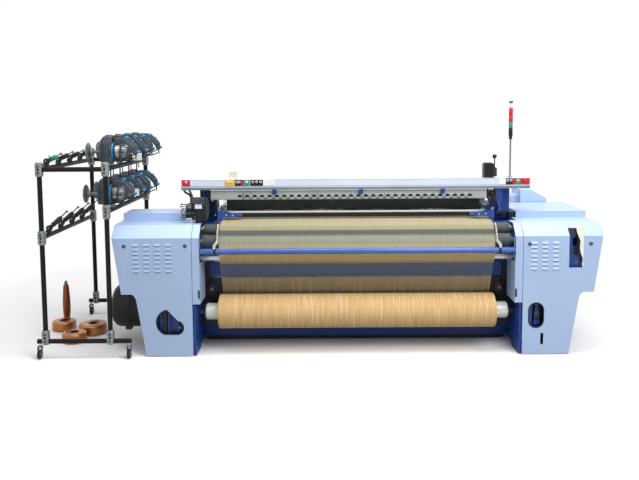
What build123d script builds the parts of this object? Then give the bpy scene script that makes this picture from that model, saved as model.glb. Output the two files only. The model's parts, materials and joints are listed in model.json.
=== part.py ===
"""Rapier loom of 2.6 m working width, with its wheeled weft-feeder stand and yarn packages.

Millimetres, +Z up, the weaver's side towards -Y. Sketches are drawn in loom coordinates:
X from the loom's centre plane, Y back from the face of the front covers, Z up from the floor.
The functions across, facing and level place them in the part's own frame.
"""

import os
from math import acos, atan2, cos, degrees, hypot, pi, radians, sin

from build123d import *

# Clearances
seat_gap = 0.3  # between a turning or sliding piece and its seat
fit_gap = 0.1  # round a tube inside its clamp
joint_gap = 2  # open seam between two sheet covers

# Flat sides that stand for a circle where round pieces repeat or are hidden
roller_sides, shaft_sides, bore_sides, tube_sides, button_sides = 24, 8, 8, 10, 12

# Front covers
cover_half = 2300  # loom centre to the outer edge of a cover
cover_inner = 1482  # loom centre to the inner edge of the narrow panel
seam_x = 1555  # between the narrow panel and the main cover
edge_z = 1137  # where the front face meets the chamfer
chamfer_size = 110
sheet = 3
floor_gap = 6  # under the sheet covers
step_z = 603  # underside of the overhang
step_out = cover_half - 75
step_in = step_out - 100
shoulder_out, shoulder_z = step_in - 40, 545
foot_out = shoulder_out - 87
hood_depth = 1130
skirt_depth = 300
panel_foot = 505  # lower edge of the narrow panel
panel_return = 300
panel_notch = 890  # above this height the return is short, for the rollers
panel_lip = 52
panel_top_depth = 270
lug_heights = (150, 560, 1060)  # where the covers are fixed to the side frames

louvre_width, louvre_height, louvre_proud = 56, 22, 9
louvre_pitch_x, louvre_pitch_z, louvre_rows, louvre_top = 102, 41, 7, 1087
louvre_starts = {-1: (-2107, 4), 1: (1629, 3)}  # first column and number of columns on each side
lock_radius, lock_proud, lock_z, lock_inset = 17, 4, 1063, 57

# Side frames and cross beams
frame_in, frame_out = 1530, 1650
frame_front, frame_back = 20, 1860
frame_top, frame_waist = 1235, 1150
journal_end = 1600

# Cloth path, as (Y, Z) of each axis
cloth_half, cloth_thick = 1307, 1.5
fell = (430, 1275)
breast_at, breast_radius = (185, 1188), 52
take_up_at, take_up_radius = (130, 1082), 64
spreader_at, spreader_radius = (120, 925), 30
roller_half = 1470
journal_radius = 22
roll_at, roll_radius, roll_half = (190, 386), 164, 1325
core_radius, core_half, core_chamfer = 78.5, 1457, 12
spindle_radius = 30
guard_at, guard_radius = (22, 1003), 27.5
strap_radius, strap_width, strap_x = 32, 26, 1338

# Warp path
warp_half, warp_thick = 1300, 2
yarn_groups, yarn_width = 28, 20
rest_radius, rest_y = 70, 1560
beam_at = (1440, 520)
yarn_radius, barrel_radius, flange_radius, flange_thick = 300, 108, 400, 22
comb_back = 1240  # where the single yarns begin, behind the stop motion

# Sley, reed and heald frames
sley_at, sley_shaft_radius = (510, 560), 30
sword_count, sword_pitch, sword_thick = 7, 420, 20
race_front, race_back, race_low, race_top = 385, 450, 1236, 1258
reed_front, reed_thick, reed_half, reed_foot = 432, 12, 1290, 4
cap_low, cap_top, cap_thick = 1312, 1331, 20
dent_width = 44
heald_count, heald_first, heald_pitch, heald_thick = 4, 640, 40, 18
heald_half, stile, heald_low, heald_high, heald_rail = 1440, 40, 1050, 1500, 60
groove_depth = 12
wire_count, wire_thick, wire_width = 7, 6, 8

# Main shaft and motor
shaft_at, shaft_radius = (520, 365), 35
motor_radius, motor_left, motor_right = 218, -2450, -1720

# Rapier drive
wheel_x, wheel_z, wheel_radius, wheel_sides = 1965, 990, 290, 36
rapier_y, rapier_width = 500, 34
wheel_rim, wheel_web, hub_radius, stub_radius = 26, 12, 60, 25
band_thick, band_width, band_wrap = 3, 30, 27
head_tip, head_back, head_low, head_high = 1345, 1497, 1279, 1303
gearbox_front, gearbox_back, gearbox_low, gearbox_high, gearbox_out = 560, 700, 850, 1110, 2060
bearing_proud, bearing_depth = 12, 80
slot_half_depth, slot_reach = 32, 2125
guide_in, guide_out, guide_half, guide_top = 1532, 1596, 29, 1300

# Boxes on top of the covers
tray_left, tray_right, tray_front, tray_back, tray_top = -2273, -1691, 330, 640, 1329
box_left, box_right, box_front, box_back, box_top = 1602, 2298, 455, 1128, 1309

# Top beam, its posts and fittings
top_half, top_front, top_back = 1712, 360, 565
top_low, top_fascia, top_high, top_step = 1548, 1585, 1650, 4
post_in, post_out, post_depth = 1466, 1554, 35
plate_thick, plate_low, plate_high = 4, 1588, 1648
button_z, button_radius, button_proud, button_travel = 1627, 10, 8, 4
start_x, stop_x = 645.5 - top_half, top_half - 52
panel_left, panel_right = 290 - top_half, top_half - 424
panel_low, panel_back = 1454, 378
slot_count, slot_first, slot_pitch, slot_width, slot_height, slot_z = 32, -1137, 72.9, 45, 20, 1467

# Signal tower and switch
tower_x, tower_y = top_half - 174, 460
pole_radius, lamp_radius = 9, 20
pole_top, base_top, green_top, red_top, tower_top = 2028, 2137, 2194, 2333, 2400
switch_left, switch_right, switch_top = top_half - 443, top_half - 343, 1795
lever_x = switch_right + 13
lever_y, lever_z, lever_bore, lever_top = 455, 1700, 8, 1880

# Feeder stand
tube_radius = 22.5
post_left, post_right = -2940, -2330
post_near, post_far = -20, 1440
rail_top, rail_bottom = 1790, 165
rail_left_mid, rail_right_mid = 1151, 1392
bottom_left, bottom_right = -3020, -2135
clamp_half, clamp_height, foot_clamp_low, foot_clamp_high = 33, 130, 135, 270
caster_inset, caster_trail = 22, 12
caster_radius, caster_width, caster_sides = 45, 28, 20
stem_radius, axle_radius, fork_gap, fork_thick, fork_top = 8, 6, 2, 4, 118
feeder_count, feeder_first, feeder_pitch, feeder_half = 4, 150, 307, 65
feeder_rise, housing_length = 153, 118
ring_radius, ring_length, drum_radius, drum_length = 90, 21, 62, 118
disc_radius, disc_length, disc_back = 88, 30, 246
arm_reach = 215

# Yarn packages on the floor, as (X, Y, radius, height)
flat_packages = [(-3105, 880, 122, 104), (-2850, 474, 122, 104), (-2752, 748, 140, 112)]
core_hole_radius, core_hole_depth, package_sides = 30, 40, 24
pirn_at, pirn_height, pirn_radius, pirn_foot = (-3165, 1130), 470, 39, 43

# The part's frame: origin under the middle of everything that stands on the floor
package_left = flat_packages[0][0] - flat_packages[0][2]
caster_front = post_near - caster_trail - caster_radius
mid_x = -(package_left + cover_half) / 2
front_y = -(caster_front + frame_back) / 2

# Sizes that follow from the ones above
cover_top = edge_z + chamfer_size
main_inner = seam_x + joint_gap
warp_low = fell[1] - warp_thick / 2
rest_at = (rest_y, warp_low - seat_gap - rest_radius)
group_pitch = 2 * warp_half / yarn_groups
group_centres = [(k + 0.5) * group_pitch - warp_half for k in range(yarn_groups)]
heald_places = [heald_first + heald_pitch * k for k in range(heald_count)]
plate_face = top_front - plate_thick
band_low = wheel_z + wheel_radius + seat_gap
feeder_rows = [feeder_first + feeder_pitch * k for k in range(feeder_count)]
feeder_places = {rail_top: post_right + 35, rail_right_mid: post_right - 1}  # rail height: X of ring


def across(x):
    """Plane square to X, drawn in (Y, Z)."""
    return Plane(origin=(mid_x + x, front_y, 0), x_dir=(0, 1, 0), z_dir=(1, 0, 0))


def facing(y):
    """Plane square to Y, drawn in (X, Z), facing the weaver."""
    return Plane(origin=(mid_x, front_y + y, 0), x_dir=(1, 0, 0), z_dir=(0, -1, 0))


def level(z):
    """Plane square to Z, drawn in (X, Y)."""
    return Plane(origin=(mid_x, front_y, z), x_dir=(1, 0, 0), z_dir=(0, 0, 1))


def slab(plane, points, depth, mode):
    """A straight-sided outline on a plane, run along the plane's normal."""
    with BuildSketch(plane) as outline:
        with BuildLine():
            Polyline(*points, close=True)
        make_face()
    extrude(outline.sketch, amount=depth, mode=mode)


def slab_x(points, x0, x1, mode=Mode.ADD):
    """A (Y, Z) outline run from x0 to x1."""
    slab(across(x0), points, x1 - x0, mode)


def slab_y(points, y0, y1, mode=Mode.ADD):
    """An (X, Z) outline run back from y0 to y1."""
    slab(facing(y0), points, y0 - y1, mode)


def slab_z(points, z0, z1, mode=Mode.ADD):
    """An (X, Y) outline run up from z0 to z1."""
    slab(level(z0), points, z1 - z0, mode)


def block(xs, ys, zs, mode=Mode.ADD):
    """A rectangular bar between two values on each axis."""
    slab_z([(xs[0], ys[0]), (xs[1], ys[0]), (xs[1], ys[1]), (xs[0], ys[1])], zs[0], zs[1], mode)


def disc(plane, at, radius, depth, mode, sides):
    """A round bar along the plane's normal, or one with flat sides where it repeats often."""
    with BuildSketch(plane) as outline:
        with Locations(at):
            if sides:
                RegularPolygon(radius, sides, rotation=180 / sides)
            else:
                Circle(radius)
    extrude(outline.sketch, amount=depth, mode=mode)


def round_x(at, radius, x0, x1, mode=Mode.ADD, sides=0):
    """A bar along X about the axis at (Y, Z)."""
    disc(across(x0), at, radius, x1 - x0, mode, sides)


def round_y(at, radius, y0, y1, mode=Mode.ADD, sides=0):
    """A bar along Y about the axis at (X, Z)."""
    disc(facing(y0), at, radius, y0 - y1, mode, sides)


def round_z(at, radius, z0, z1, mode=Mode.ADD, sides=0):
    """A bar along Z about the axis at (X, Y)."""
    disc(level(z0), at, radius, z1 - z0, mode, sides)


def bore_x(at, radius, x0, x1):
    """A bearing hole along X with flat sides, clear of a shaft by the seat gap."""
    round_x(at, (radius + seat_gap) / cos(pi / bore_sides), x0, x1, Mode.SUBTRACT, bore_sides)


def bore(at, radius, y0, y1):
    """A bearing hole along Y with flat sides, clear of a pin by the seat gap."""
    round_y(at, (radius + seat_gap) / cos(pi / bore_sides), y0, y1, Mode.SUBTRACT, bore_sides)


def on_circle(centre, radius, angle):
    return (centre[0] + radius * cos(radians(angle)), centre[1] + radius * sin(radians(angle)))


def touch_angle(first, second):
    """Direction from both axes to where a sheet touches them; a negative radius is the far side."""
    (c1, r1), (c2, r2) = first, second
    heading = degrees(atan2(c2[1] - c1[1], c2[0] - c1[0]))
    return heading - degrees(acos((r1 - r2) / hypot(c2[0] - c1[0], c2[1] - c1[1])))


def sheet_face(stops, lift):
    """One face of a sheet led over rollers: straight runs joined by arcs. Gives its two ends."""
    raised = [(centre, radius + lift) for centre, radius in stops]
    angles = [touch_angle(a, b) for a, b in zip(raised, raised[1:])]
    for k, angle in enumerate(angles):
        Line(on_circle(*raised[k], angle), on_circle(*raised[k + 1], angle))
    for k in range(1, len(angles)):
        centre, radius = raised[k]
        CenterArc(centre, radius, angles[k - 1], (angles[k] - angles[k - 1]) % 360)
    return on_circle(*raised[0], angles[0]), on_circle(*raised[-1], angles[-1])


def led_sheet(stops, thick, half):
    """A sheet of cloth or yarn led over rollers, clear of each by the seat gap."""
    with BuildSketch(across(-half)) as outline:
        with BuildLine():
            near = sheet_face(stops, seat_gap)
            far = sheet_face(stops, seat_gap + thick)
            Line(near[0], far[0])
            Line(near[1], far[1])
        make_face()
    extrude(outline.sketch, amount=2 * half)


os.makedirs("parts", exist_ok=True)


# Side frames: cast walls with windows and bearing bores, and the heald guides cast on
frame_outline = [
    (frame_front, 0),
    (260, 0),
    (300, 45),
    (1520, 45),
    (1560, 0),
    (frame_back, 0),
    (frame_back, beam_at[1]),
    (rest_y + 100, 760),
    (rest_y + 90, rest_at[1] + rest_radius),
    (rest_y - 90, rest_at[1] + rest_radius),
    (rest_y - 130, frame_waist),
    (heald_first + 180, frame_waist),
    (heald_first + 160, frame_top),
    (frame_front + frame_top - edge_z, frame_top),
    (frame_front, edge_z),
]
frame_windows = [
    [(330, 110), (460, 110), (460, 260), (400, 310), (330, 230)],
    [(660, 130), (1150, 130), (1150, 330), (1060, 520), (660, 520)],
    [(640, 640), (1130, 640), (1300, 900), (1300, 1050), (640, 1050)],
    [(230, 640), (390, 640), (390, 1020), (260, 1020)],
]
journals = [
    (breast_at, journal_radius),
    (take_up_at, journal_radius),
    (spreader_at, journal_radius),
    (roll_at, spindle_radius),
    (rest_at, journal_radius),
    (beam_at, spindle_radius),
    (shaft_at, shaft_radius),
    (sley_at, sley_shaft_radius),
]
guide_low, guide_high = heald_low + 20, heald_high - 90
guide_front = heald_places[0] - heald_thick / 2 - 22
guide_back = heald_places[-1] + heald_thick / 2 + 22

with BuildPart() as side_frames:
    for side in (-1, 1):
        slab_x(frame_outline, side * frame_in, side * frame_out)
        for window in frame_windows:
            slab_x(window, side * frame_in, side * frame_out, Mode.SUBTRACT)
        for at, radius in journals:
            bore_x(at, radius, side * frame_in, side * frame_out)
        for z in lug_heights:
            block((side * frame_in, side * (frame_out - 10)), (sheet, frame_front), (z, z + 40))
        guide_face = side * (heald_half - groove_depth)
        block((guide_face, side * frame_in), (guide_front, guide_back), (guide_low, guide_high))
        for y in heald_places:
            groove = (y - heald_thick / 2 - seat_gap, y + heald_thick / 2 + seat_gap)
            groove_floor = side * (heald_half + seat_gap)
            block((guide_face, groove_floor), groove, (guide_low, guide_high), Mode.SUBTRACT)
side_frames.part.label = "side_frames"
export_step(side_frames.part, "parts/side_frames.step")

# Cross beams between the side frames: front sill, breast beam, stop-motion beam and rear sill
cross_beam_boxes = [
    ((507, 607), (10, 188)),
    ((360, 430), (687, 821)),
    ((980, 1060), (1060, frame_waist)),
    ((1690, 1790), (14, 110)),
]
with BuildPart() as cross_beams:
    for ys, zs in cross_beam_boxes:
        block((-frame_in, frame_in), ys, zs)
cross_beams.part.label = "cross_beams"
export_step(cross_beams.part, "parts/cross_beams.step")


def skirt(side, inset, mode):
    """The lower part of a front cover; an inset gives the inside of the sheet."""
    inner_x = side * (main_inner - inset)
    foot = floor_gap - inset
    with BuildSketch(facing(inset)) as outline:
        with BuildLine():
            edge = Polyline(
                (inner_x, step_z),
                (inner_x, foot),
                (side * (foot_out - inset), foot),
                (side * (shoulder_out - inset), shoulder_z),
            )
            cove = TangentArc(edge @ 1, (side * (step_in - inset), step_z), tangent=edge % 1)
            Line(cove @ 1, edge @ 0)
        make_face()
    extrude(outline.sketch, amount=-skirt_depth, mode=mode)


def hood(side, inset, mode):
    """The upper, overhanging part of a front cover, leaning outwards up to the chamfer."""
    inner_x = side * (main_inner - inset)
    bend = inset * (2**0.5 - 1)
    lean = [
        (inner_x, step_z - inset),
        (side * (step_out - inset), step_z - inset),
        (side * (cover_half - inset), edge_z),
        (inner_x, edge_z),
    ]
    slab_y(lean, inset, hood_depth + inset, mode)
    brow = [
        (inset, edge_z - bend),
        (chamfer_size + bend, cover_top - inset),
        (hood_depth + inset, cover_top - inset),
        (hood_depth + inset, edge_z - bend),
    ]
    slab_x(brow, inner_x, side * (cover_half - inset), mode)


def cover_shell(side):
    """Sheet cover, open behind, below and towards the loom, with louvres, locks and a rapier slot."""
    hood(side, 0, Mode.ADD)
    skirt(side, 0, Mode.ADD)
    hood(side, sheet, Mode.SUBTRACT)
    skirt(side, sheet, Mode.SUBTRACT)
    ledge = (side * (step_in - sheet), side * (step_out - 1))
    block(ledge, (1, skirt_depth), (step_z, step_z + sheet))
    first, columns = louvre_starts[side]
    for column in range(columns):
        left = first + louvre_pitch_x * column
        for row in range(louvre_rows):
            high = louvre_top - louvre_pitch_z * row
            low = high - louvre_height
            wedge = [(0, high), (-louvre_proud, low), (0, low)]
            slab_x(wedge, left, left + louvre_width)
    for x in (cover_half - 2 * lock_inset, main_inner + lock_inset):
        round_y((side * x, lock_z), lock_radius, -lock_proud, 0, sides=12)
    ys = (rapier_y - slot_half_depth, rapier_y + slot_half_depth)
    zs = (cover_top - 2 * sheet, cover_top + 1)
    block((side * (main_inner - 1), side * slot_reach), ys, zs, Mode.SUBTRACT)


with BuildPart() as left_front_cover:
    cover_shell(-1)
    with BuildSketch(facing(-1)) as teardrop:
        with BuildLine():
            big_end = ThreePointArc((-1800, 452), (-1899, 345), (-1821, 217))
            small_end = ThreePointArc((-1720, 217), (-1645, 262), (-1700, 345))
            Line(big_end @ 1, small_end @ 0)
            Line(small_end @ 1, big_end @ 0)
        make_face()
    extrude(teardrop.sketch, amount=-(sheet + 2), mode=Mode.SUBTRACT)
left_front_cover.part.label = "left_front_cover"
export_step(left_front_cover.part, "parts/left_front_cover.step")

with BuildPart() as right_front_cover:
    cover_shell(1)
    block((1985, 2120), (-1, 12), (836, edge_z + 1), Mode.SUBTRACT)
    block((1985, 2120), (-1, 1204 - edge_z), (edge_z, 1204), Mode.SUBTRACT)
    with BuildSketch(facing(-1)) as hand_hole:
        with Locations((1685, 382)):
            SlotCenterToCenter(96, 144, rotation=90)
    extrude(hand_hole.sketch, amount=-(sheet + 2), mode=Mode.SUBTRACT)
    block((1730, 1757), (-1, sheet + 1), (98, 210), Mode.SUBTRACT)
right_front_cover.part.label = "right_front_cover"
export_step(right_front_cover.part, "parts/right_front_cover.step")

# Narrow panels beside the cloth: face, chamfer, top and a return that clears the rollers
panel_bend = sheet * (2**0.5 - 1)
panel_profile = [
    (0, panel_foot),
    (0, edge_z),
    (chamfer_size, cover_top),
    (panel_top_depth, cover_top),
    (panel_top_depth, cover_top - sheet),
    (chamfer_size + panel_bend, cover_top - sheet),
    (sheet, edge_z - panel_bend),
    (sheet, panel_foot),
]
return_profile = [
    (1, panel_foot),
    (1, edge_z),
    (panel_lip - 1, edge_z + panel_lip - 2),
    (panel_lip, panel_notch),
    (panel_return, panel_notch),
    (panel_return, panel_foot),
]
with BuildPart() as inner_panels:
    for side in (-1, 1):
        slab_x(panel_profile, side * cover_inner, side * (seam_x - joint_gap))
        slab_x(return_profile, side * cover_inner, side * (cover_inner + sheet))
inner_panels.part.label = "inner_panels"
export_step(inner_panels.part, "parts/inner_panels.step")


def lid(xs, ys, top, inner_wall):
    """A sheet box standing on a cover, open below, with a slot for the rapier band."""
    block(xs, ys, (cover_top, top))
    inside = [(v[0] + sheet, v[1] - sheet) for v in (xs, ys)]
    block(*inside, (cover_top, top - sheet), Mode.SUBTRACT)
    slot = (rapier_y - slot_half_depth, rapier_y + slot_half_depth)
    block((inner_wall - 5, inner_wall + 5), slot, (cover_top, cover_top + 45), Mode.SUBTRACT)


with BuildPart() as left_top_tray:
    lid((tray_left, tray_right), (tray_front, tray_back), tray_top, tray_right)
left_top_tray.part.label = "left_top_tray"
export_step(left_top_tray.part, "parts/left_top_tray.step")

with BuildPart() as right_top_cover:
    lid((box_left, box_right), (box_front, box_back), box_top, box_left)
right_top_cover.part.label = "right_top_cover"
export_step(right_top_cover.part, "parts/right_top_cover.step")

# Dobby: the shedding gear's housing behind the right cover, on a pedestal from the side frame
dobby_outline = [(1841, 1000), (2129, 1000), (2129, 1353), (1957, 1449), (1841, 1449)]
with BuildPart() as dobby_housing:
    slab_y(dobby_outline, 1160, 1520)
    block((frame_out, 1841), (1250, 1500), (1000, 1380))
    block((frame_out, 2050), (1250, 1500), (0, 1000))
dobby_housing.part.label = "dobby_housing"
export_step(dobby_housing.part, "parts/dobby_housing.step")

# Main motor: domed drum on the main shaft's axis, beyond the left cover's foot
motor_rings = [(0, 128), (25, 180), (80, motor_radius), (motor_right - motor_left, motor_radius)]
with BuildPart() as main_motor:
    for x, radius in motor_rings:
        with BuildSketch(across(motor_left + x)):
            with Locations(shaft_at):
                RegularPolygon(radius, roller_sides)
    loft(ruled=True)
    round_x(shaft_at, 80, motor_right, -frame_out, sides=tube_sides)
    for x in (motor_left + 126, motor_right - 120):
        slab_x([(430, 0), (610, 0), (590, 200), (450, 200)], x, x + 58)
main_motor.part.label = "main_motor"
export_step(main_motor.part, "parts/main_motor.step")

with BuildPart() as rapier_gearboxes:
    for side in (-1, 1):
        ys, zs = (gearbox_front, gearbox_back), (gearbox_low, gearbox_high)
        block((side * frame_out, side * gearbox_out), ys, zs)
        at = (side * wheel_x, wheel_z)
        round_y(at, 78, gearbox_front - bearing_proud, gearbox_front, sides=16)
        bore(at, stub_radius, gearbox_front - bearing_proud, gearbox_front + bearing_depth)
rapier_gearboxes.part.label = "rapier_gearboxes"
export_step(rapier_gearboxes.part, "parts/rapier_gearboxes.step")

with BuildPart() as rapier_guides:
    for side in (-1, 1):
        ys = (rapier_y - guide_half, rapier_y + guide_half)
        block((side * guide_in, side * guide_out), ys, (frame_top, guide_top))
        channel = (rapier_y - rapier_width / 2, rapier_y + rapier_width / 2)
        zs = (band_low - 3, band_low + band_thick + 4)
        block((side * guide_in, side * guide_out), channel, zs, Mode.SUBTRACT)
rapier_guides.part.label = "rapier_guides"
export_step(rapier_guides.part, "parts/rapier_guides.step")

# Top beam with a set-back lower edge, its posts, and the slotted panel hung under it
top_profile = [
    (top_front + top_step, top_low),
    (top_back, top_low),
    (top_back, top_high),
    (top_front, top_high),
    (top_front, top_fascia),
    (top_front + top_step, top_fascia),
]
with BuildPart() as top_beam:
    slab_x(top_profile, -top_half, top_half)
    for x in (start_x, stop_x):
        bore((x, button_z), button_radius, top_front - 1, top_front + 2 * button_travel)
top_beam.part.label = "top_beam"
export_step(top_beam.part, "parts/top_beam.step")

with BuildPart() as beam_posts:
    for side in (-1, 1):
        ys = (top_back - post_depth, top_back)
        block((side * post_in, side * post_out), ys, (frame_top, top_low))
beam_posts.part.label = "beam_posts"
export_step(beam_posts.part, "parts/beam_posts.step")

slot_outline = [(-1, 0), (1, 0), (0.7, 0.75), (0, 1), (-0.7, 0.75)]
with BuildPart() as slotted_panel:
    block((panel_left, panel_right), (panel_back - 8, panel_back), (panel_low, top_low))
    for k in range(slot_count):
        x = slot_first + slot_pitch * k
        outline = [(x + u * slot_width / 2, slot_z + v * slot_height) for u, v in slot_outline]
        slab_y(outline, panel_back - 9, panel_back + 1, Mode.SUBTRACT)
    for x in (-794, 55, 853):
        block((x - 16, x + 16), (panel_back - 22, panel_back - 8), (1500, 1535))
slotted_panel.part.label = "slotted_panel"
export_step(slotted_panel.part, "parts/slotted_panel.step")

# Button plates on the beam's face, as distances in from the beam's left or right end:
# (side, outer edge, inner edge, fixed buttons)
plates = [
    (-1, 12, 91, [52]),
    (-1, 432, 530, [463, 496]),
    (-1, 531, 590, [548, 574]),
    (-1, 592, 618, []),
    (-1, 619, 672, []),
    (-1, 681, 805, [705, 743, 781]),
    (-1, 806, 920, []),
    (1, 240, 306, []),
    (1, 175, 239, [223, 191]),
    (1, 141, 174, []),
    (1, 101, 140, [120]),
    (1, 6, 100, []),
]
with BuildPart() as button_plates:
    for side, outer, inner, buttons in plates:
        xs = (side * (top_half - outer), side * (top_half - inner))
        block(xs, (plate_face, top_front), (plate_low, plate_high))
        for inset in buttons:
            at = (side * (top_half - inset), button_z)
            round_y(at, button_radius, plate_face - button_proud, plate_face, sides=8)
    for x in (start_x, stop_x):
        bore((x, button_z), button_radius, plate_face, top_front)
button_plates.part.label = "button_plates"
export_step(button_plates.part, "parts/button_plates.step")

with BuildPart() as start_button:
    at = (start_x, button_z)
    round_y(at, button_radius, plate_face - button_proud, top_front - seat_gap, sides=button_sides)
start_button.part.label = "start_button"
export_step(start_button.part, "parts/start_button.step")

with BuildPart() as stop_button:
    at = (stop_x, button_z)
    back_of_head = plate_face - button_travel - 2
    round_y(at, button_radius, back_of_head, top_front - seat_gap, sides=button_sides)
    round_y(at, 17, back_of_head - 12, back_of_head, sides=button_sides)
stop_button.part.label = "stop_button"
export_step(stop_button.part, "parts/stop_button.step")

# Boxes, lever and signal tower on top of the beam
with BuildPart() as junction_box:
    block((469 - top_half, 545 - top_half), (420, 490), (top_high, top_high + 76))
junction_box.part.label = "junction_box"
export_step(junction_box.part, "parts/junction_box.step")

with BuildPart() as switch_box:
    block((switch_left, switch_right), (400, 510), (top_high, switch_top))
    for ys in ((420, 436), (474, 490)):
        block((switch_right, switch_right + 31), ys, (top_high + 10, top_high + 100))
    bore((lever_x, lever_z), lever_bore, 419, 491)
switch_box.part.label = "switch_box"
export_step(switch_box.part, "parts/switch_box.step")

with BuildPart() as switch_lever:
    round_y((lever_x, lever_z), lever_bore, 421, 489, sides=shaft_sides)
    block((lever_x - 7, lever_x + 7), (lever_y - 7, lever_y + 7), (lever_z, lever_top - 42))
    round_z((lever_x, lever_y), 23, lever_top - 44, lever_top, sides=14)
switch_lever.part.label = "switch_lever"
export_step(switch_lever.part, "parts/switch_lever.step")

with BuildPart() as signal_pole:
    round_z((tower_x, tower_y), 24, top_high, top_high + 12, sides=16)
    round_z((tower_x, tower_y), pole_radius, top_high + 12, pole_top, sides=tube_sides)
signal_pole.part.label = "signal_pole"
export_step(signal_pole.part, "parts/signal_pole.step")

lamp_bands = [
    (pole_top, base_top, lamp_radius),
    (base_top, green_top, lamp_radius - 1),
    (green_top, red_top, lamp_radius),
    (red_top, tower_top - 16, lamp_radius - 1),
    (tower_top - 16, tower_top, lamp_radius),
]
with BuildPart() as signal_lamps:
    for low, high, radius in lamp_bands:
        round_z((tower_x, tower_y), radius, low, high, sides=tube_sides)
signal_lamps.part.label = "signal_lamps"
export_step(signal_lamps.part, "parts/signal_lamps.step")

# Weft selector on the left narrow panel, with its finger plate and the post beside it
with BuildPart() as weft_selector:
    block((-1548, -1462), (190, 268), (cover_top, 1379))
    block((-1566, -1458), (196, 262), (1379, 1437))
    block((-1596, -1456), (186, 268), (1437, 1451))
    slab_y([(-1596, 1451), (-1456, 1451), (-1456, 1480), (-1480, 1495), (-1596, 1495)], 196, 262)
    slab_y([(-1462, 1262), (-1414, 1262), (-1414, 1450), (-1440, 1494), (-1462, 1494)], 215, 245)
    block((-1394, -1366), (panel_back, panel_back + 28), (1250, top_low))
weft_selector.part.label = "weft_selector"
export_step(weft_selector.part, "parts/weft_selector.step")

# Temples at both edges of the cloth, their brackets from the side frames, and the bar between
with BuildPart() as temples:
    for side in (-1, 1):
        nose = [(side * 1104, 1300), (side * 1130, 1266), (side * 1310, 1266)]
        slab_y(nose + [(side * 1310, 1350), (side * 1104, 1350)], 285, 335)
        block((side * 1310, side * 1345), (285, 335), (1205, 1378))
        block((side * 1345, side * frame_in), (300, 330), (1205, frame_top))
temples.part.label = "temples"
export_step(temples.part, "parts/temples.step")

with BuildPart() as temple_bar:
    block((-1282, 1219), (335, 360), (1283, 1323))
temple_bar.part.label = "temple_bar"
export_step(temple_bar.part, "parts/temple_bar.step")

with BuildPart() as guard_bar:
    round_x(guard_at, guard_radius, -cover_inner, cover_inner, sides=16)
    for side in (-1, 1):
        strap = (side * strap_x - strap_width / 2, side * strap_x + strap_width / 2)
        round_x(guard_at, strap_radius, *strap, sides=16)
guard_bar.part.label = "guard_bar"
export_step(guard_bar.part, "parts/guard_bar.step")


def roller(at, radius, half, end_radius):
    """A roller with journals that turn in the side frames."""
    round_x(at, radius, -half, half, sides=roller_sides)
    for side in (-1, 1):
        round_x(at, end_radius, side * half, side * journal_end, sides=shaft_sides)


with BuildPart() as breast_roller:
    roller(breast_at, breast_radius, roller_half, journal_radius)
breast_roller.part.label = "breast_roller"
export_step(breast_roller.part, "parts/breast_roller.step")

with BuildPart() as take_up_roller:
    roller(take_up_at, take_up_radius, roller_half, journal_radius)
take_up_roller.part.label = "take_up_roller"
export_step(take_up_roller.part, "parts/take_up_roller.step")

with BuildPart() as spreader_roller:
    roller(spreader_at, spreader_radius, roller_half, journal_radius)
spreader_roller.part.label = "spreader_roller"
export_step(spreader_roller.part, "parts/spreader_roller.step")

with BuildPart() as back_rest_roller:
    roller(rest_at, rest_radius, roller_half, journal_radius)
back_rest_roller.part.label = "back_rest_roller"
export_step(back_rest_roller.part, "parts/back_rest_roller.step")

with BuildPart() as roll_core:
    rims = [
        (-core_half, core_radius - core_chamfer),
        (core_chamfer - core_half, core_radius),
        (core_half - core_chamfer, core_radius),
        (core_half, core_radius - core_chamfer),
    ]
    for x, radius in rims:
        with BuildSketch(across(x)):
            with Locations(roll_at):
                RegularPolygon(radius, roller_sides, rotation=180 / roller_sides)
    loft(ruled=True)
    round_x(roll_at, spindle_radius, -journal_end, journal_end, sides=shaft_sides)
roll_core.part.label = "roll_core"
export_step(roll_core.part, "parts/roll_core.step")

with BuildPart() as cloth_roll:
    round_x(roll_at, roll_radius, -roll_half, roll_half)
    round_x(roll_at, core_radius + fit_gap, -roll_half, roll_half, Mode.SUBTRACT, roller_sides)
cloth_roll.part.label = "cloth_roll"
export_step(cloth_roll.part, "parts/cloth_roll.step")

# Cloth from the fell over the breast and take-up rollers and under the spreader to the roll
cloth_stops = [
    (fell, -seat_gap),
    (breast_at, breast_radius),
    (take_up_at, take_up_radius),
    (spreader_at, spreader_radius),
    (roll_at, -(roll_radius + 2 * seat_gap + cloth_thick)),
]
with BuildPart() as cloth_web:
    led_sheet(cloth_stops, cloth_thick, cloth_half)
cloth_web.part.label = "cloth_web"
export_step(cloth_web.part, "parts/cloth_web.step")

# Warp: a full sheet from the warp beam over the back rest, then groups of yarns to the fell
comb_start = (comb_back, warp_low - seat_gap - 1)
with BuildPart() as warp_yarns:
    led_sheet([(beam_at, yarn_radius), (rest_at, rest_radius), (comb_start, 1)], warp_thick, warp_half)
    for x in group_centres:
        xs = (x - yarn_width / 2, x + yarn_width / 2)
        ys = (fell[0] + seat_gap, comb_back + 1)
        block(xs, ys, (warp_low, warp_low + warp_thick))
warp_yarns.part.label = "warp_yarns"
export_step(warp_yarns.part, "parts/warp_yarns.step")

with BuildPart() as warp_beam:
    round_x(beam_at, yarn_radius, -warp_half, warp_half, sides=roller_sides)
    for side in (-1, 1):
        flange_end = side * (warp_half + flange_thick)
        round_x(beam_at, flange_radius, side * warp_half, flange_end, sides=roller_sides)
        round_x(beam_at, barrel_radius, flange_end, side * roller_half, sides=tube_sides)
        round_x(beam_at, spindle_radius, side * roller_half, side * journal_end, sides=shaft_sides)
warp_beam.part.label = "warp_beam"
export_step(warp_beam.part, "parts/warp_beam.step")

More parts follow.
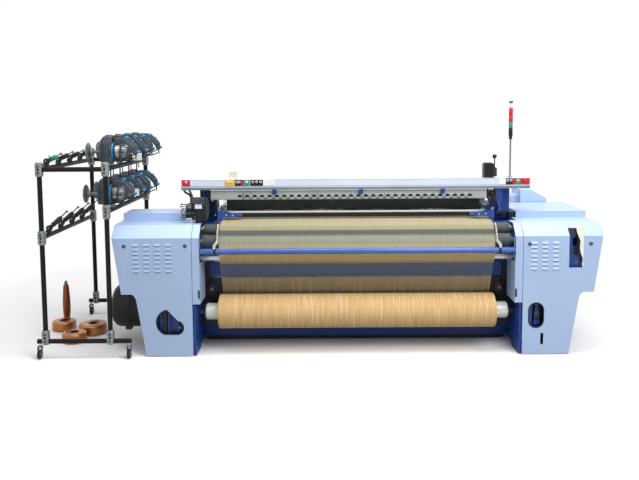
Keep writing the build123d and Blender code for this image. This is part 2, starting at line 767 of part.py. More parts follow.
# Warp stop motion: contact bars between two end brackets on their own beam
with BuildPart() as warp_stop_motion:
    for side in (-1, 1):
        block((side * 1400, side * 1424), (990, 1052), (frame_waist, 1262))
        block((side * 1400, side * 1424), (990, 1110), (1262, 1312))
    for y in (1004, 1034, 1064, 1094):
        block((-1400, 1400), (y, y + 8), (1290, 1306))
    block((-1400, 1400), (1000, 1012), (1240, 1262))
warp_stop_motion.part.label = "warp_stop_motion"
export_step(warp_stop_motion.part, "parts/warp_stop_motion.step")

# Sley: pivot shaft, swords and race board
sword_outline = [
    (sley_at[0] - 38, sley_at[1] - 34),
    (sley_at[0] + 38, sley_at[1] - 34),
    (race_back - 2, race_low),
    (race_front + 16, race_low),
]
with BuildPart() as sley:
    round_x(sley_at, sley_shaft_radius, -journal_end, journal_end, sides=shaft_sides)
    for k in range(sword_count):
        x = (k - (sword_count - 1) / 2) * sword_pitch
        slab_x(sword_outline, x - sword_thick / 2, x + sword_thick / 2)
    block((-reed_half, reed_half), (race_front, race_back), (race_low, race_top))
sley.part.label = "sley"
export_step(sley.part, "parts/sley.step")

# Reed: a comb standing on the race board, with one opening for each group of yarns
reed_back = reed_front + reed_thick
reed_mid = (reed_front + reed_back) / 2
with BuildPart() as reed:
    block((-reed_half, reed_half), (reed_front, reed_back), (race_top, cap_low))
    for x in group_centres:
        xs = (x - dent_width / 2, x + dent_width / 2)
        block(xs, (reed_front, reed_back), (race_top + reed_foot, cap_low), Mode.SUBTRACT)
    ys = (reed_mid - cap_thick / 2, reed_mid + cap_thick / 2)
    block((-reed_half, reed_half), ys, (cap_low, cap_top))
reed.part.label = "reed"
export_step(reed.part, "parts/reed.step")


def heald_frame(place):
    """One heald frame: rails, stiles and wires that stand between the groups of yarn."""
    y = heald_places[place]
    ys = (y - heald_thick / 2, y + heald_thick / 2)
    block((-heald_half, heald_half), ys, (heald_low, heald_high))
    opening = (heald_low + heald_rail, heald_high - heald_rail)
    block((-heald_half + stile, heald_half - stile), ys, opening, Mode.SUBTRACT)
    for k in range(wire_count):
        x = (k * heald_count + place - yarn_groups / 2) * group_pitch
        xs = (x - wire_width / 2, x + wire_width / 2)
        block(xs, (y - wire_thick / 2, y + wire_thick / 2), opening)


with BuildPart() as odd_heald_frames:
    heald_frame(0)
    heald_frame(2)
odd_heald_frames.part.label = "odd_heald_frames"
export_step(odd_heald_frames.part, "parts/odd_heald_frames.step")

with BuildPart() as even_heald_frames:
    heald_frame(1)
    heald_frame(3)
even_heald_frames.part.label = "even_heald_frames"
export_step(even_heald_frames.part, "parts/even_heald_frames.step")

with BuildPart() as main_shaft:
    round_x(shaft_at, shaft_radius, seat_gap - frame_out, journal_end, sides=shaft_sides)
main_shaft.part.label = "main_shaft"
export_step(main_shaft.part, "parts/main_shaft.step")


def rapier_wheel(side):
    """Band wheel with a rim, a thin web, a hub and the stub that turns in the gearbox."""
    at = (side * wheel_x, wheel_z)
    rim = (rapier_y - rapier_width / 2, rapier_y + rapier_width / 2)
    web = (rapier_y - wheel_web / 2, rapier_y + wheel_web / 2)
    round_y(at, wheel_radius / cos(pi / wheel_sides), *rim, sides=wheel_sides)
    for ys in ((rim[0], web[0]), (web[1], rim[1])):
        round_y(at, wheel_radius - wheel_rim, *ys, Mode.SUBTRACT, sides=12)
    round_y(at, hub_radius, rim[0], gearbox_front - bearing_proud - seat_gap, sides=tube_sides)
    round_y(at, stub_radius, rim[1], gearbox_front + bearing_depth - 2, sides=shaft_sides)


with BuildPart() as left_rapier_wheel:
    rapier_wheel(-1)
left_rapier_wheel.part.label = "left_rapier_wheel"
export_step(left_rapier_wheel.part, "parts/left_rapier_wheel.step")

with BuildPart() as right_rapier_wheel:
    rapier_wheel(1)
right_rapier_wheel.part.label = "right_rapier_wheel"
export_step(right_rapier_wheel.part, "parts/right_rapier_wheel.step")


def rapier_head(side):
    """Gripper head that carries the weft, tapered to its tip."""
    profile = [
        (side * head_tip, head_low + 5),
        (side * (head_tip + 25), head_low),
        (side * head_back, head_low),
        (side * head_back, head_high - 4),
        (side * (head_tip + 70), head_high),
        (side * head_tip, head_low + 12),
    ]
    slab_y(profile, rapier_y - rapier_width / 2, rapier_y + rapier_width / 2)
    cheek = [
        (side * (head_tip - 1), rapier_y + 9),
        (side * (head_tip - 1), rapier_y + 40),
        (side * (head_tip + 70), rapier_y + 40),
        (side * (head_tip + 70), rapier_y + rapier_width / 2),
    ]
    slab_z(cheek, head_low - 1, head_high + 1, Mode.SUBTRACT)


with BuildPart() as left_rapier:
    rapier_head(-1)
left_rapier.part.label = "left_rapier"
export_step(left_rapier.part, "parts/left_rapier.step")

with BuildPart() as right_rapier:
    rapier_head(1)
right_rapier.part.label = "right_rapier"
export_step(right_rapier.part, "parts/right_rapier.step")


def band_face(side, lift):
    """Points of one face of the band, from the head to its end on the wheel."""
    step = 2 * pi / wheel_sides
    radius = (wheel_radius + lift) / cos(step / 2)
    points = [(side * (head_back + seat_gap), wheel_z + wheel_radius + lift)]
    for k in range(band_wrap):
        angle = (k + 0.5) * step
        points.append((side * (wheel_x + radius * sin(angle)), wheel_z + radius * cos(angle)))
    return points


with BuildPart() as rapier_bands:
    for side in (-1, 1):
        ring = band_face(side, seat_gap) + band_face(side, seat_gap + band_thick)[::-1]
        slab_y(ring, rapier_y - band_width / 2, rapier_y + band_width / 2)
rapier_bands.part.label = "rapier_bands"
export_step(rapier_bands.part, "parts/rapier_bands.step")

# Feeder stand: posts, foot rails and the rails that carry feeders and tensioners
post_places = [(x, y) for x in (post_left, post_right) for y in (post_near, post_far)]
inner_xs = (post_left + clamp_half, post_right - clamp_half)
inner_ys = (post_near + clamp_half, post_far - clamp_half)
depth_rails = [
    (post_left, rail_left_mid),
    (post_left, rail_top),
    (post_right, rail_right_mid),
    (post_right, rail_top),
]
caster_places = {
    "front_left": (bottom_left + caster_inset, post_near, -1),
    "front_right": (bottom_right - caster_inset, post_near, -1),
    "rear_left": (bottom_left + caster_inset, post_far, 1),
    "rear_right": (bottom_right - caster_inset, post_far, 1),
}
with BuildPart() as stand_frame:
    for at in post_places:
        top = rail_top + clamp_height / 2 - 1
        round_z(at, tube_radius, foot_clamp_high, top, sides=tube_sides)
    for y in (post_near, post_far):
        round_x((y, rail_bottom), tube_radius, bottom_left, bottom_right, sides=tube_sides)
        round_x((y, rail_top), tube_radius, *inner_xs, sides=tube_sides)
    for x, z in depth_rails:
        round_y((x, z), tube_radius, *inner_ys, sides=tube_sides)
    for x, y, way in caster_places.values():
        socket = (stem_radius + seat_gap) / cos(pi / shaft_sides)
        round_z((x, y), socket, rail_bottom - 30, rail_bottom, Mode.SUBTRACT, shaft_sides)
stand_frame.part.label = "stand_frame"
export_step(stand_frame.part, "parts/stand_frame.step")

with BuildPart() as stand_clamps:
    for x, y in post_places:
        xs = (x - clamp_half, x + clamp_half)
        ys = (y - clamp_half, y + clamp_half)
        rail_mid = rail_left_mid if x == post_left else rail_right_mid
        for z in (rail_top, rail_mid):
            zs = (z - clamp_height / 2, z + clamp_height / 2)
            block(xs, ys, zs)
            round_z((x, y), tube_radius + fit_gap, *zs, Mode.SUBTRACT, tube_sides)
        block(xs, ys, (foot_clamp_low, foot_clamp_high))
        round_x((y, rail_bottom), tube_radius + fit_gap, *xs, Mode.SUBTRACT, tube_sides)
stand_clamps.part.label = "stand_clamps"
export_step(stand_clamps.part, "parts/stand_clamps.step")


def feeder_body(x, y, rail_z):
    """Feeder housing astride its rail, with the arm that reaches over the drum."""
    shoulder = [
        (x - housing_length, rail_z + 50),
        (x, rail_z + 50),
        (x, rail_z + 312),
        (x - 58, rail_z + 312),
        (x - 100, rail_z + 290),
        (x - housing_length, rail_z + 240),
    ]
    slab_y(shoulder, y - feeder_half, y + feeder_half)
    foot = (rail_z + tube_radius, rail_z + 50)
    block((post_right - 30, post_right + 30), (y - 30, y + 30), foot)
    arm = [
        (x, rail_z + 262),
        (x, rail_z + 286),
        (x + 120, rail_z + 286),
        (x + arm_reach, rail_z + 200),
        (x + arm_reach, rail_z + 130),
        (x + arm_reach - 20, rail_z + 130),
        (x + 112, rail_z + 262),
    ]
    slab_y(arm, y - 10, y + 10)


with BuildPart() as feeder_housings:
    for rail_z, x in feeder_places.items():
        for y in feeder_rows:
            feeder_body(x, y, rail_z)
feeder_housings.part.label = "feeder_housings"
export_step(feeder_housings.part, "parts/feeder_housings.step")

with BuildPart() as feeder_drums:
    for rail_z, x in feeder_places.items():
        for y in feeder_rows:
            at = (y, rail_z + feeder_rise)
            round_x(at, ring_radius, x, x + ring_length, sides=16)
            round_x(at, drum_radius, x + ring_length, x + ring_length + drum_length, sides=12)
            round_x(at, disc_radius, x - disc_back, x - disc_back + disc_length, sides=12)
            round_x(at, 17, x - disc_back + disc_length, x - housing_length, sides=4)
            round_x(at, 20, x + arm_reach, x + arm_reach + 32, sides=6)
feeder_drums.part.label = "feeder_drums"
export_step(feeder_drums.part, "parts/feeder_drums.step")

# Tensioners on the stand's left rails, each with an angled guide rod
with BuildPart() as yarn_tensioners:
    for rail_z in (rail_top, rail_left_mid):
        for y in feeder_rows:
            low = rail_z + tube_radius
            rod = [(post_left + 10, low + 44), (post_left + 130, low + 96), (post_left + 130, low + 108)]
            block((post_left - 24, post_left + 24), (y - 22, y + 22), (low, low + 58))
            slab_y(rod + [(post_left + 10, low + 58)], y - 6, y + 6)
yarn_tensioners.part.label = "yarn_tensioners"
export_step(yarn_tensioners.part, "parts/yarn_tensioners.step")

with BuildPart() as yarn_packages:
    for x, y, radius, height in flat_packages:
        round_z((x, y), radius / cos(pi / package_sides), 0, height, sides=package_sides)
        round_z((x, y), core_hole_radius, height - core_hole_depth, height, Mode.SUBTRACT, 10)
    pirn_rings = [
        (0, pirn_foot),
        (24, pirn_foot),
        (60, pirn_radius),
        (pirn_height - 60, pirn_radius - 14),
        (pirn_height, 13),
    ]
    for z, radius in pirn_rings:
        with BuildSketch(level(z)):
            with Locations(pirn_at):
                RegularPolygon(radius, tube_sides)
    loft(ruled=True)
yarn_packages.part.label = "yarn_packages"
export_step(yarn_packages.part, "parts/yarn_packages.step")


def caster_fork(x, y, way):
    """Swivelling fork with its stem and the wheel's axle."""
    half = caster_width / 2 + fork_gap
    outer = half + fork_thick
    axle_y = y + way * caster_trail
    cheek = [(axle_y - 11, 34), (axle_y + 11, 34), (y + 24, fork_top), (y - 24, fork_top)]
    for side in (-1, 1):
        slab_x(cheek, x + side * half, x + side * outer)
    block((x - outer, x + outer), (y - 24, y + 24), (fork_top - 8, fork_top))
    round_z((x, y), stem_radius, fork_top, rail_bottom - 2, sides=shaft_sides)
    round_x((axle_y, caster_radius), axle_radius, x - outer - 3, x + outer + 3, sides=8)


for corner, (x, y, way) in caster_places.items():
    with BuildPart() as fork:
        caster_fork(x, y, way)
    fork.part.label = corner + "_caster_fork"
    export_step(fork.part, "parts/" + fork.part.label + ".step")

    with BuildPart() as wheel:
        at = (y + way * caster_trail, caster_radius)
        tread = (x - caster_width / 2, x + caster_width / 2)
        round_x(at, caster_radius / cos(pi / caster_sides), *tread, sides=caster_sides)
        round_x(at, (axle_radius + seat_gap) / cos(pi / 8), *tread, Mode.SUBTRACT, sides=8)
    wheel.part.label = corner + "_caster_wheel"
    export_step(wheel.part, "parts/" + wheel.part.label + ".step")
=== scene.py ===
"""Looks of the rapier loom, its weft-feeder stand and its yarn packages.

Shapes are written in loom millimetres: X from the loom's centre plane, Y back from the face of
the front covers, Z up from the floor. Piece.done places them in the shared frame.
"""

import json
import random
from math import acos, atan2, cos, degrees, hypot, pi, radians, sin

import bmesh
import bpy
from mathutils import Matrix, Vector


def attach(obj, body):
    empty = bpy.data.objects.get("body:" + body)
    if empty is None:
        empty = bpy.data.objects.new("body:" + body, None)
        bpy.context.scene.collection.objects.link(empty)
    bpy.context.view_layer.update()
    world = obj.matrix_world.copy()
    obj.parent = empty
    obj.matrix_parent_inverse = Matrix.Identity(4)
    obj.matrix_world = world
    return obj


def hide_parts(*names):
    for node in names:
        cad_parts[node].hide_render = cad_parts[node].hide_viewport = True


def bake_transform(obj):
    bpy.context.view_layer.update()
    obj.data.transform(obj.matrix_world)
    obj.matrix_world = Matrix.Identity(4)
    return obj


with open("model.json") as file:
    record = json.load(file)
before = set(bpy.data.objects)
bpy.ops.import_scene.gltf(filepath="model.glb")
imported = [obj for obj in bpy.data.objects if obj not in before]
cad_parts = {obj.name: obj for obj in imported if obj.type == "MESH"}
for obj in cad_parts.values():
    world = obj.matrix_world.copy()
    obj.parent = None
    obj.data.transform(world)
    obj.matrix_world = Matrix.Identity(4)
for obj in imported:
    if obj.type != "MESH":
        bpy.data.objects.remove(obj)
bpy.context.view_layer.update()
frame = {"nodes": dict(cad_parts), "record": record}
record = frame["record"]
body_of = {node: body for body, nodes in record["behaviour"]["bodies"].items() for node in nodes}

# Loom millimetres to the shared frame's metres
to_row = Matrix.Scale(0.001, 4) @ Matrix.Translation((463.5, -891.5, 0))
random.seed(7)


# Materials


def colour(shade):
    """An 8-bit screen colour as linear light."""
    return tuple(((c / 255 + 0.055) / 1.055) ** 2.4 for c in shade) + (1.0,)


def grey(value):
    return (value, value, value, 1.0)


class Shading:
    """A node tree whose nodes are made and joined in one call."""

    def __init__(self, tree):
        self.tree = tree

    def feed(self, socket, value):
        """Links an input to an output, or sets it to a plain value."""
        if isinstance(value, bpy.types.NodeSocket):
            self.tree.links.new(value, socket)
        else:
            socket.default_value = value

    def node(self, kind, inputs, **settings):
        """The outputs of a new node."""
        made = self.tree.nodes.new("ShaderNode" + kind)
        for name, value in settings.items():
            setattr(made, name, value)
        for key, value in inputs.items():
            self.feed(made.inputs[key], value)
        return made.outputs

    def span(self, source, low, high, start=0.35, end=0.65):
        """A value's range from start to end, or a noise's middle range, spread over low to high."""
        inputs = {"Value": source, "From Min": start, "From Max": end, "To Min": low, "To Max": high}
        return self.node("MapRange", inputs)["Result"]

    def rays(self, *kinds):
        """1 for a ray of any of some kinds, as Light Path names them."""
        path = self.node("LightPath", {})
        total = path[kinds[0]]
        for kind in kinds[1:]:
            total = self.node("Math", {0: total, 1: path[kind]}, operation="MAXIMUM")[0]
        return total


class Finish(Shading):
    """A material on a Principled shader, with textures in the shared frame's metres."""

    def __init__(self, name):
        self.material = bpy.data.materials.new(name)
        self.material.use_nodes = True
        super().__init__(self.material.node_tree)
        self.shader = self.tree.nodes["Principled BSDF"]
        self.place = self.node("TexCoord", {})["Object"]

    def shade(self, inputs):
        """Feeds the Principled shader and gives the material."""
        for key, value in inputs.items():
            self.feed(self.shader.inputs[key], value)
        return self.material

    def noise(self, scale, stretch, detail, distortion=0.0):
        place = self.node("Mapping", {"Vector": self.place, "Scale": stretch})["Vector"]
        inputs = {"Vector": place, "Scale": scale, "Detail": detail, "Distortion": distortion}
        return self.node("TexNoise", inputs)["Fac"]

    def ramp(self, source, stops):
        """Colours along a value, as (position, colour)."""
        ramp = self.tree.nodes.new("ShaderNodeValToRGB")
        elements = ramp.color_ramp.elements
        while len(elements) < len(stops):
            elements.new(0.5)
        for element, (position, shade) in zip(elements, stops):
            element.position = position
            element.color = shade
        self.feed(ramp.inputs["Fac"], source)
        return ramp.outputs["Color"]

    def mix(self, factor, first, second, kind="MIX"):
        return self.node("Mix", {0: factor, 6: first, 7: second}, data_type="RGBA", blend_type=kind)[2]

    def product(self, first, second):
        return self.mix(1.0, first, second, "MULTIPLY")

    def bump(self, source, strength, distance=0.0005):
        made = self.node("Bump", {"Height": source, "Strength": strength, "Distance": distance})
        self.feed(self.shader.inputs["Normal"], made["Normal"])


def coat(name, dark, light, rough, scale=3, bump=0.05, metal=0.0, stretch=(1, 1, 1), grain=700, gloss=0.5):
    """Paint, metal, rubber or plastic: two close shades, uneven gloss and a fine surface grain."""
    made = Finish(name)
    cloud = made.noise(scale, stretch, 5.0)
    made.bump(made.noise(grain, stretch, 2.0), bump)
    return made.shade({
        "Base Color": made.ramp(cloud, [(0.3, colour(dark)), (0.7, colour(light))]),
        "Roughness": made.span(cloud, *rough),
        "Metallic": metal,
        "Specular IOR Level": gloss,
    })


def threads(name, dark, light, across_x, bump=0.5, contrast=0.9, sheen=0.3):
    """Cloth or wound yarn: fine lines at steady X, with slubs."""
    made = Finish(name)
    fine = made.noise(1.0, (across_x, 5, 5), 2.0)
    broad = made.noise(1.0, (across_x / 9, 1.2, 1.2), 3.0)
    shade = made.ramp(fine, [(0.34, colour(dark)), (0.62, colour(light))])
    shaded = made.product(shade, made.ramp(broad, [(0.36, grey(contrast)), (0.6, grey(1.0))]))
    made.bump(fine, bump, 0.0008)
    made.shade({"Base Color": shaded, "Roughness": 0.75, "Sheen Weight": sheen})
    return made, shaded, fine


def open_cloth(weave, shades, streaks):
    """Cloth whose density, painted light and shade in its colour, and stray ends change with height, each as
    (Z in metres, value).
    """
    low, high = 0.46, 1.28
    made, shaded, fine = threads("open_cloth", (236, 236, 236), (255, 255, 255), 330, 0.4, 0.95)
    z = made.node("SeparateXYZ", {0: made.place})["Z"]
    run = made.span(z, 0, 1, low, high)

    def along(stops, shade):
        return made.ramp(run, [((z - low) / (high - low), shade(value)) for z, value in stops])

    thread = made.ramp(made.noise(1.0, (120, 0.7, 0.7), 1.0), [(0.56, grey(0)), (0.63, grey(1))])
    shown = made.product(thread, along(streaks, grey))
    cloth_with_painted_light = made.product(shaded, along(shades, colour))
    uneven = made.ramp(fine, [(0.3, grey(0.95)), (0.65, grey(1.0))])
    return made.shade({
        "Base Color": made.mix(shown, cloth_with_painted_light, colour((214, 190, 142))),
        "Alpha": made.product(along(weave, grey), uneven),
    })


def wound(name, dark, light, across_z):
    """Glossy filament wound on a package: fine lines round the axis."""
    made = Finish(name)
    fine = made.noise(1.0, (4, 4, across_z), 3.0, 0.2)
    made.bump(fine, 0.5, 0.0008)
    shade = made.ramp(fine, [(0.35, colour(dark)), (0.65, colour(light))])
    return made.shade({"Base Color": shade, "Roughness": 0.3, "Metallic": 0.8})


paint = coat("periwinkle_paint", (164, 186, 220), (172, 194, 228), (0.3, 0.42), 0.8)
pale_paint = coat("pale_beam_paint", (204, 213, 227), (217, 225, 236), (0.3, 0.42), 1.5, 0.04)
# Dark blue-grey for the top beam: painted shade along its lower edge, and a thin line along its top
beam_shade_and_line = coat("beam_painted_shade_and_line", (104, 116, 136), (124, 136, 156), (0.35, 0.5))
blue = coat("royal_blue_paint", (8, 50, 116), (14, 66, 150), (0.4, 0.6), 4, 0.15)
bar_blue = coat("bar_blue_paint", (53, 91, 165), (60, 101, 179), (0.2, 0.32), 5, 0.08)
temple_paint = coat("temple_paint", (24, 52, 128), (36, 72, 160), (0.25, 0.4), 5, 0.1)
cyan = coat("cyan_plastic", (0, 128, 190), (4, 152, 214), (0.35, 0.45), 20)
black = coat("black_enamel", (9, 10, 12), (18, 20, 22), (0.36, 0.52), 8, 0.1, gloss=0.3)
tube_black = coat("black_tube", (5, 6, 7), (11, 13, 14), (0.4, 0.55), 6, 0.06, gloss=0.2)
rubber = coat("black_rubber", (16, 16, 18), (30, 30, 32), (0.7, 0.88), 30, 0.3, grain=1500)
roller_cover = coat("roller_cover", (54, 60, 62), (80, 86, 86), (0.65, 0.85), 12, 0.5, grain=900)
steel = coat("bright_steel", (168, 172, 172), (206, 209, 208), (0.26, 0.42), 6, 0.1, 0.85, (1, 6, 6), 500)
cast = coat("grey_casting", (92, 98, 102), (124, 130, 134), (0.45, 0.65), 25, 0.35, 0.4, grain=600)
clamp_cast = coat("bright_casting", (112, 117, 119), (158, 163, 164), (0.38, 0.58), 40, 0.5, 0.4, grain=500)
core_steel = coat("worn_core", (190, 196, 190), (226, 230, 224), (0.35, 0.6), 12, 0.2, 0.15, (1, 5, 5), 400)
feeder_grey = coat("feeder_housing", (52, 58, 66), (80, 87, 96), (0.4, 0.55), 18, 0.12, gloss=0.35)
dark_grey = coat("dark_grey_plastic", (24, 28, 32), (40, 45, 50), (0.42, 0.62), 20, 0.15, gloss=0.35)
# Pale panel colour: painted light for the lit inside of the right front cover's end wall
lit_wall_paint = coat("painted_lit_wall", (230, 229, 216), (243, 242, 232), (0.35, 0.5), 15)
white = coat("white_plastic", (222, 226, 228), (240, 242, 243), (0.35, 0.5), 15)
flange_grey = coat("beam_flange", (146, 151, 153), (168, 173, 174), (0.38, 0.5), 1.2, 0.08, 0.5, grain=500)
cap_white = coat("cap_white", (246, 248, 249), (254, 254, 254), (0.35, 0.5), 15, 0.03)
cream = coat("cream_plastic", (206, 198, 174), (222, 214, 192), (0.4, 0.55), 15, 0.08)
red = coat("red_plastic", (184, 24, 32), (210, 36, 42), (0.3, 0.42), 30)
green = coat("green_plastic", (0, 128, 108), (10, 156, 132), (0.32, 0.45), 30)
yellow = coat("yellow_plate", (222, 168, 34), (238, 190, 54), (0.35, 0.45), 30)
plate_green = coat("dark_green_plate", (8, 32, 24), (14, 50, 36), (0.4, 0.55), 20, 0.1)
panel_grey = coat("grey_panel", (150, 156, 152), (174, 179, 175), (0.4, 0.55), 4, 0.08)
clear = coat("clear_lamp", (206, 212, 214), (230, 234, 234), (0.12, 0.2), 30, 0.02)
heald_dark = coat("heald_steel", (42, 50, 47), (66, 74, 70), (0.4, 0.55), 10, 0.15, 0.3, grain=500)
# Dark blue-grey strips: painted shadow under the louvres, and dark seam lines on the covers
shadow_and_seam = coat("painted_shadow_and_seam", (44, 52, 74), (60, 70, 96), (0.6, 0.8), 30)
string = coat("cotton_cord", (206, 200, 184), (236, 230, 214), (0.8, 0.95), 200, 0.6, grain=2000)
weave = [(0.51, 0.85), (0.57, 0.85), (0.705, 0.8), (0.722, 0.3), (0.86, 0.32), (0.872, 0.88), (0.953, 0.92)]
weave += [(1.03, 0.9), (1.13, 0.84), (1.142, 0.34), (1.184, 0.34), (1.19, 0.9), (1.27, 0.97)]
# Painted light and shade by height: dark by the roll, bright over lit rollers, grey and blue where parts
# behind show
shades = [
    (0.5, (60, 60, 50)), (0.556, (97, 101, 84)), (0.572, (154, 138, 104)), (0.7, (162, 146, 111)),
    (0.715, (146, 158, 166)), (0.86, (146, 158, 166)), (0.872, (156, 134, 96)), (0.9, (200, 170, 110)),
    (0.95, (226, 198, 130)), (1.0, (232, 212, 158)), (1.05, (228, 216, 174)), (1.08, (188, 184, 154)),
    (1.11, (150, 154, 130)), (1.135, (144, 150, 134)), (1.185, (144, 150, 134)), (1.2, (156, 146, 112)),
    (1.235, (165, 156, 118)),
]
streaks = [(0.5, 0.1), (0.57, 0.42), (0.7, 0.36), (0.73, 0.1), (1.1, 0.04), (1.27, 0.0)]
cloth = open_cloth(weave, shades, streaks)
roll_cloth = threads("rolled_cloth", (194, 154, 98), (224, 189, 134), 300, 0.3, 0.93, 0.02)[0].material
warp_thread = threads("warp_thread", (158, 136, 98), (206, 184, 140), 300, 0.4, 0.94, 0.1)[0].material
# The warp yarn again, darker: painted shade on the wound warp beam
beam_thread_painted_shade = threads("beam_thread_painted_shade", (126, 104, 72), (182, 158, 116), 300)[0].material
stray = threads("stray_thread", (240, 216, 170), (255, 238, 206), 300)[0].material
filament = wound("copper_filament", (118, 66, 34), (206, 142, 88), 900)
pirn_thread = wound("pirn_filament", (78, 40, 22), (158, 92, 54), 700)


# Shapes


def turns(count):
    """Angles in even steps round a circle."""
    return [2 * pi * k / count for k in range(count)]


def circle(at, radius, count):
    """Points in even steps round a circle."""
    return [(at[0] + radius * cos(t), at[1] + radius * sin(t)) for t in turns(count)]


def spot(axis, a, u, v):
    """A point at a along the axis and at u, v on the two others."""
    return {"x": (a, u, v), "y": (u, a, v), "z": (u, v, a)}[axis]


def rounded(u0, u1, v0, v1, r, steps=4):
    """A rectangle with rounded corners, as points."""
    corners = [(u1 - r, v1 - r, 0), (u0 + r, v1 - r, 90), (u0 + r, v0 + r, 180), (u1 - r, v0 + r, 270)]
    points = []
    for cu, cv, first in corners:
        for k in range(steps + 1):
            t = radians(first + 90 * k / steps)
            points.append((cu + r * cos(t), cv + r * sin(t)))
    return points


def crown(start, end, radius, edge):
    """The profile of a bar with rounded rims."""
    near, far, rim = start + edge * 0.3, end - edge * 0.3, radius - edge * 0.3
    ends = (start, radius - edge), (end, radius - edge)
    return [ends[0], (near, rim), (start + edge, radius), (end - edge, radius), (far, rim), ends[1]]


def round_edges(obj, width):
    bevel = obj.modifiers.new("edges", "BEVEL")
    bevel.width = width / 1000
    bevel.segments = 2
    bevel.limit_method = "ANGLE"
    bevel.angle_limit = radians(30)
    bevel.harden_normals = True
    bevel.use_clamp_overlap = True


class Piece:
    """One piece under construction, in loom millimetres."""

    def __init__(self, name):
        self.name = name
        self.mesh = bmesh.new()
        self.finishes = []
        self.index = 0
        self.about()

    def use(self, material):
        if material not in self.finishes:
            self.finishes.append(material)
        self.index = self.finishes.index(material)
        return self

    def about(self, x=0, y=0, z=0, side=1):
        """Measures what follows from a point, and mirrored in X where side is -1."""
        self.origin, self.side = (x, y, z), side
        return self

    def placed(self, point):
        x, y, z = self.origin
        return (x + self.side * point[0], y + point[1], z + point[2])

    def skin(self, loops, ends=True, wrap=True):
        """Faces between loops of points, with the first and last loop closed if ends."""
        return self.cover([[self.placed(p) for p in loop] for loop in loops], ends, wrap)

    def cover(self, loops, ends=True, wrap=True):
        """As skin, for points that are placed already."""
        rings = [[self.mesh.verts.new(p) for p in loop] for loop in loops]
        count = len(rings[0])
        faces = []
        for a, b in zip(rings, rings[1:]):
            for i in range(count if wrap else count - 1):
                j = (i + 1) % count
                faces.append(self.mesh.faces.new((a[i], a[j], b[j], b[i])))
        if ends:
            faces.append(self.mesh.faces.new(rings[0][::-1]))
            faces.append(self.mesh.faces.new(rings[-1]))
        for face in faces:
            face.material_index = self.index
        return self

    def prism(self, axis, outline, start, end):
        """An outline in the two other axes, in their order, run along an axis."""
        return self.skin([[spot(axis, a, u, v) for u, v in outline] for a in (start, end)])

    def box(self, xs, ys, zs):
        return self.prism("z", [(xs[0], ys[0]), (xs[1], ys[0]), (xs[1], ys[1]), (xs[0], ys[1])], *zs)

    def lathe(self, axis, at, profile, sides=32, ends=True):
        """A turned shape about an axis through at, from (place along the axis, radius) pairs."""
        return self.skin([[spot(axis, a, *p) for p in circle(at, r, sides)] for a, r in profile], ends)

    def lathes(self, axis, places, profile, sides=32):
        """The same turned shape at several places."""
        for at in places:
            self.lathe(axis, at, profile, sides)
        return self

    def tube(self, points, radius, sides=8):
        """A round bar through points, with one radius or one for each point."""
        path = [Vector(self.placed(p)) for p in points]
        radii = radius if isinstance(radius, (list, tuple)) else [radius] * len(path)
        loops = []
        side = None
        for k, p in enumerate(path):
            way = (path[min(k + 1, len(path) - 1)] - path[max(k - 1, 0)]).normalized()
            if side is None:
                side = way.orthogonal().normalized()
            side = (side - way * side.dot(way)).normalized()
            up = way.cross(side)
            loops.append([p + radii[k] * (side * cos(t) + up * sin(t)) for t in turns(sides)])
        return self.cover(loops)

    def done(self, like, replaced=True, bevel=0.0, sharp=35, blended=False, weld=False):
        """Places the piece on the body of the CAD node it is like, unless blended, and hides that node if
        replaced.
        """
        bmesh.ops.transform(self.mesh, matrix=to_row, verts=self.mesh.verts)
        bmesh.ops.remove_doubles(self.mesh, verts=self.mesh.verts, dist=1e-6 if weld else 0.0)
        bmesh.ops.recalc_face_normals(self.mesh, faces=self.mesh.faces)
        for face in self.mesh.faces:
            face.smooth = True
        for edge in self.mesh.edges:
            edge.smooth = edge.calc_face_angle(0) < radians(sharp)
        data = bpy.data.meshes.new(self.name)
        self.mesh.to_mesh(data)
        self.mesh.free()
        for material in self.finishes:
            data.materials.append(material)
        made = bpy.data.objects.new(self.name, data)
        bpy.context.scene.collection.objects.link(made)
        if bevel:
            round_edges(made, bevel)
        if not blended:
            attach(made, body_of[like])
        if replaced:
            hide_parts(like)
        return made


# CAD nodes whose shape is right get a material and softened edges: (material, edge in mm, nodes)
kept = [
    (blue, 4, ["side_frames", "cross_beams"]),
    (blue, 5, ["rapier_gearboxes"]),
    (blue, 3, ["beam_posts"]),
    (paint, 1.4, ["left_front_cover", "right_front_cover", "left_top_tray", "right_top_cover"]),
    (paint, 1.2, ["inner_panels"]),
    (paint, 6, ["dobby_housing"]),
    (pale_paint, 2, ["top_beam"]),
    (black, 1, ["rapier_guides"]),
    (black, 2.5, ["temple_bar"]),
    (black, 0.8, ["left_rapier", "right_rapier"]),
    (cream, 4, ["junction_box"]),
    (steel, 1, ["warp_stop_motion"]),
    (dark_grey, 2, ["sley"]),
]
for material, width, names in kept:
    for name in names:
        node = frame["nodes"][name]
        node.data.materials.clear()
        node.data.materials.append(material)
        node.modifiers.new("join", "WELD").merge_threshold = 0.00001
        round_edges(node, width)


# Cloth and warp: axes in (Y, Z), radii, and half widths in X
fell, breast, take_up, spreader, roll = (430, 1275), (185, 1188), (130, 1082), (120, 925), (190, 386)
rest, beam, shaft_axis, sley_axis = (1560, 1203.7), (1440, 520), (520, 365), (510, 560)
breast_r, take_up_r, spreader_r, rest_r, core_r, roll_r = 52, 64, 30, 70, 78.5, 163.6
cloth_half, warp_half, roller_half, stub_end = 1307, 1300, 1460, 1599
ripple = 0  # depth of random waves in the sheets


def touch_angle(first, second):
    """Direction from both axes to where a sheet touches them; a negative radius is the far side."""
    (c1, r1), (c2, r2) = first, second
    heading = degrees(atan2(c2[1] - c1[1], c2[0] - c1[0]))
    return heading - degrees(acos((r1 - r2) / hypot(c2[0] - c1[0], c2[1] - c1[1])))


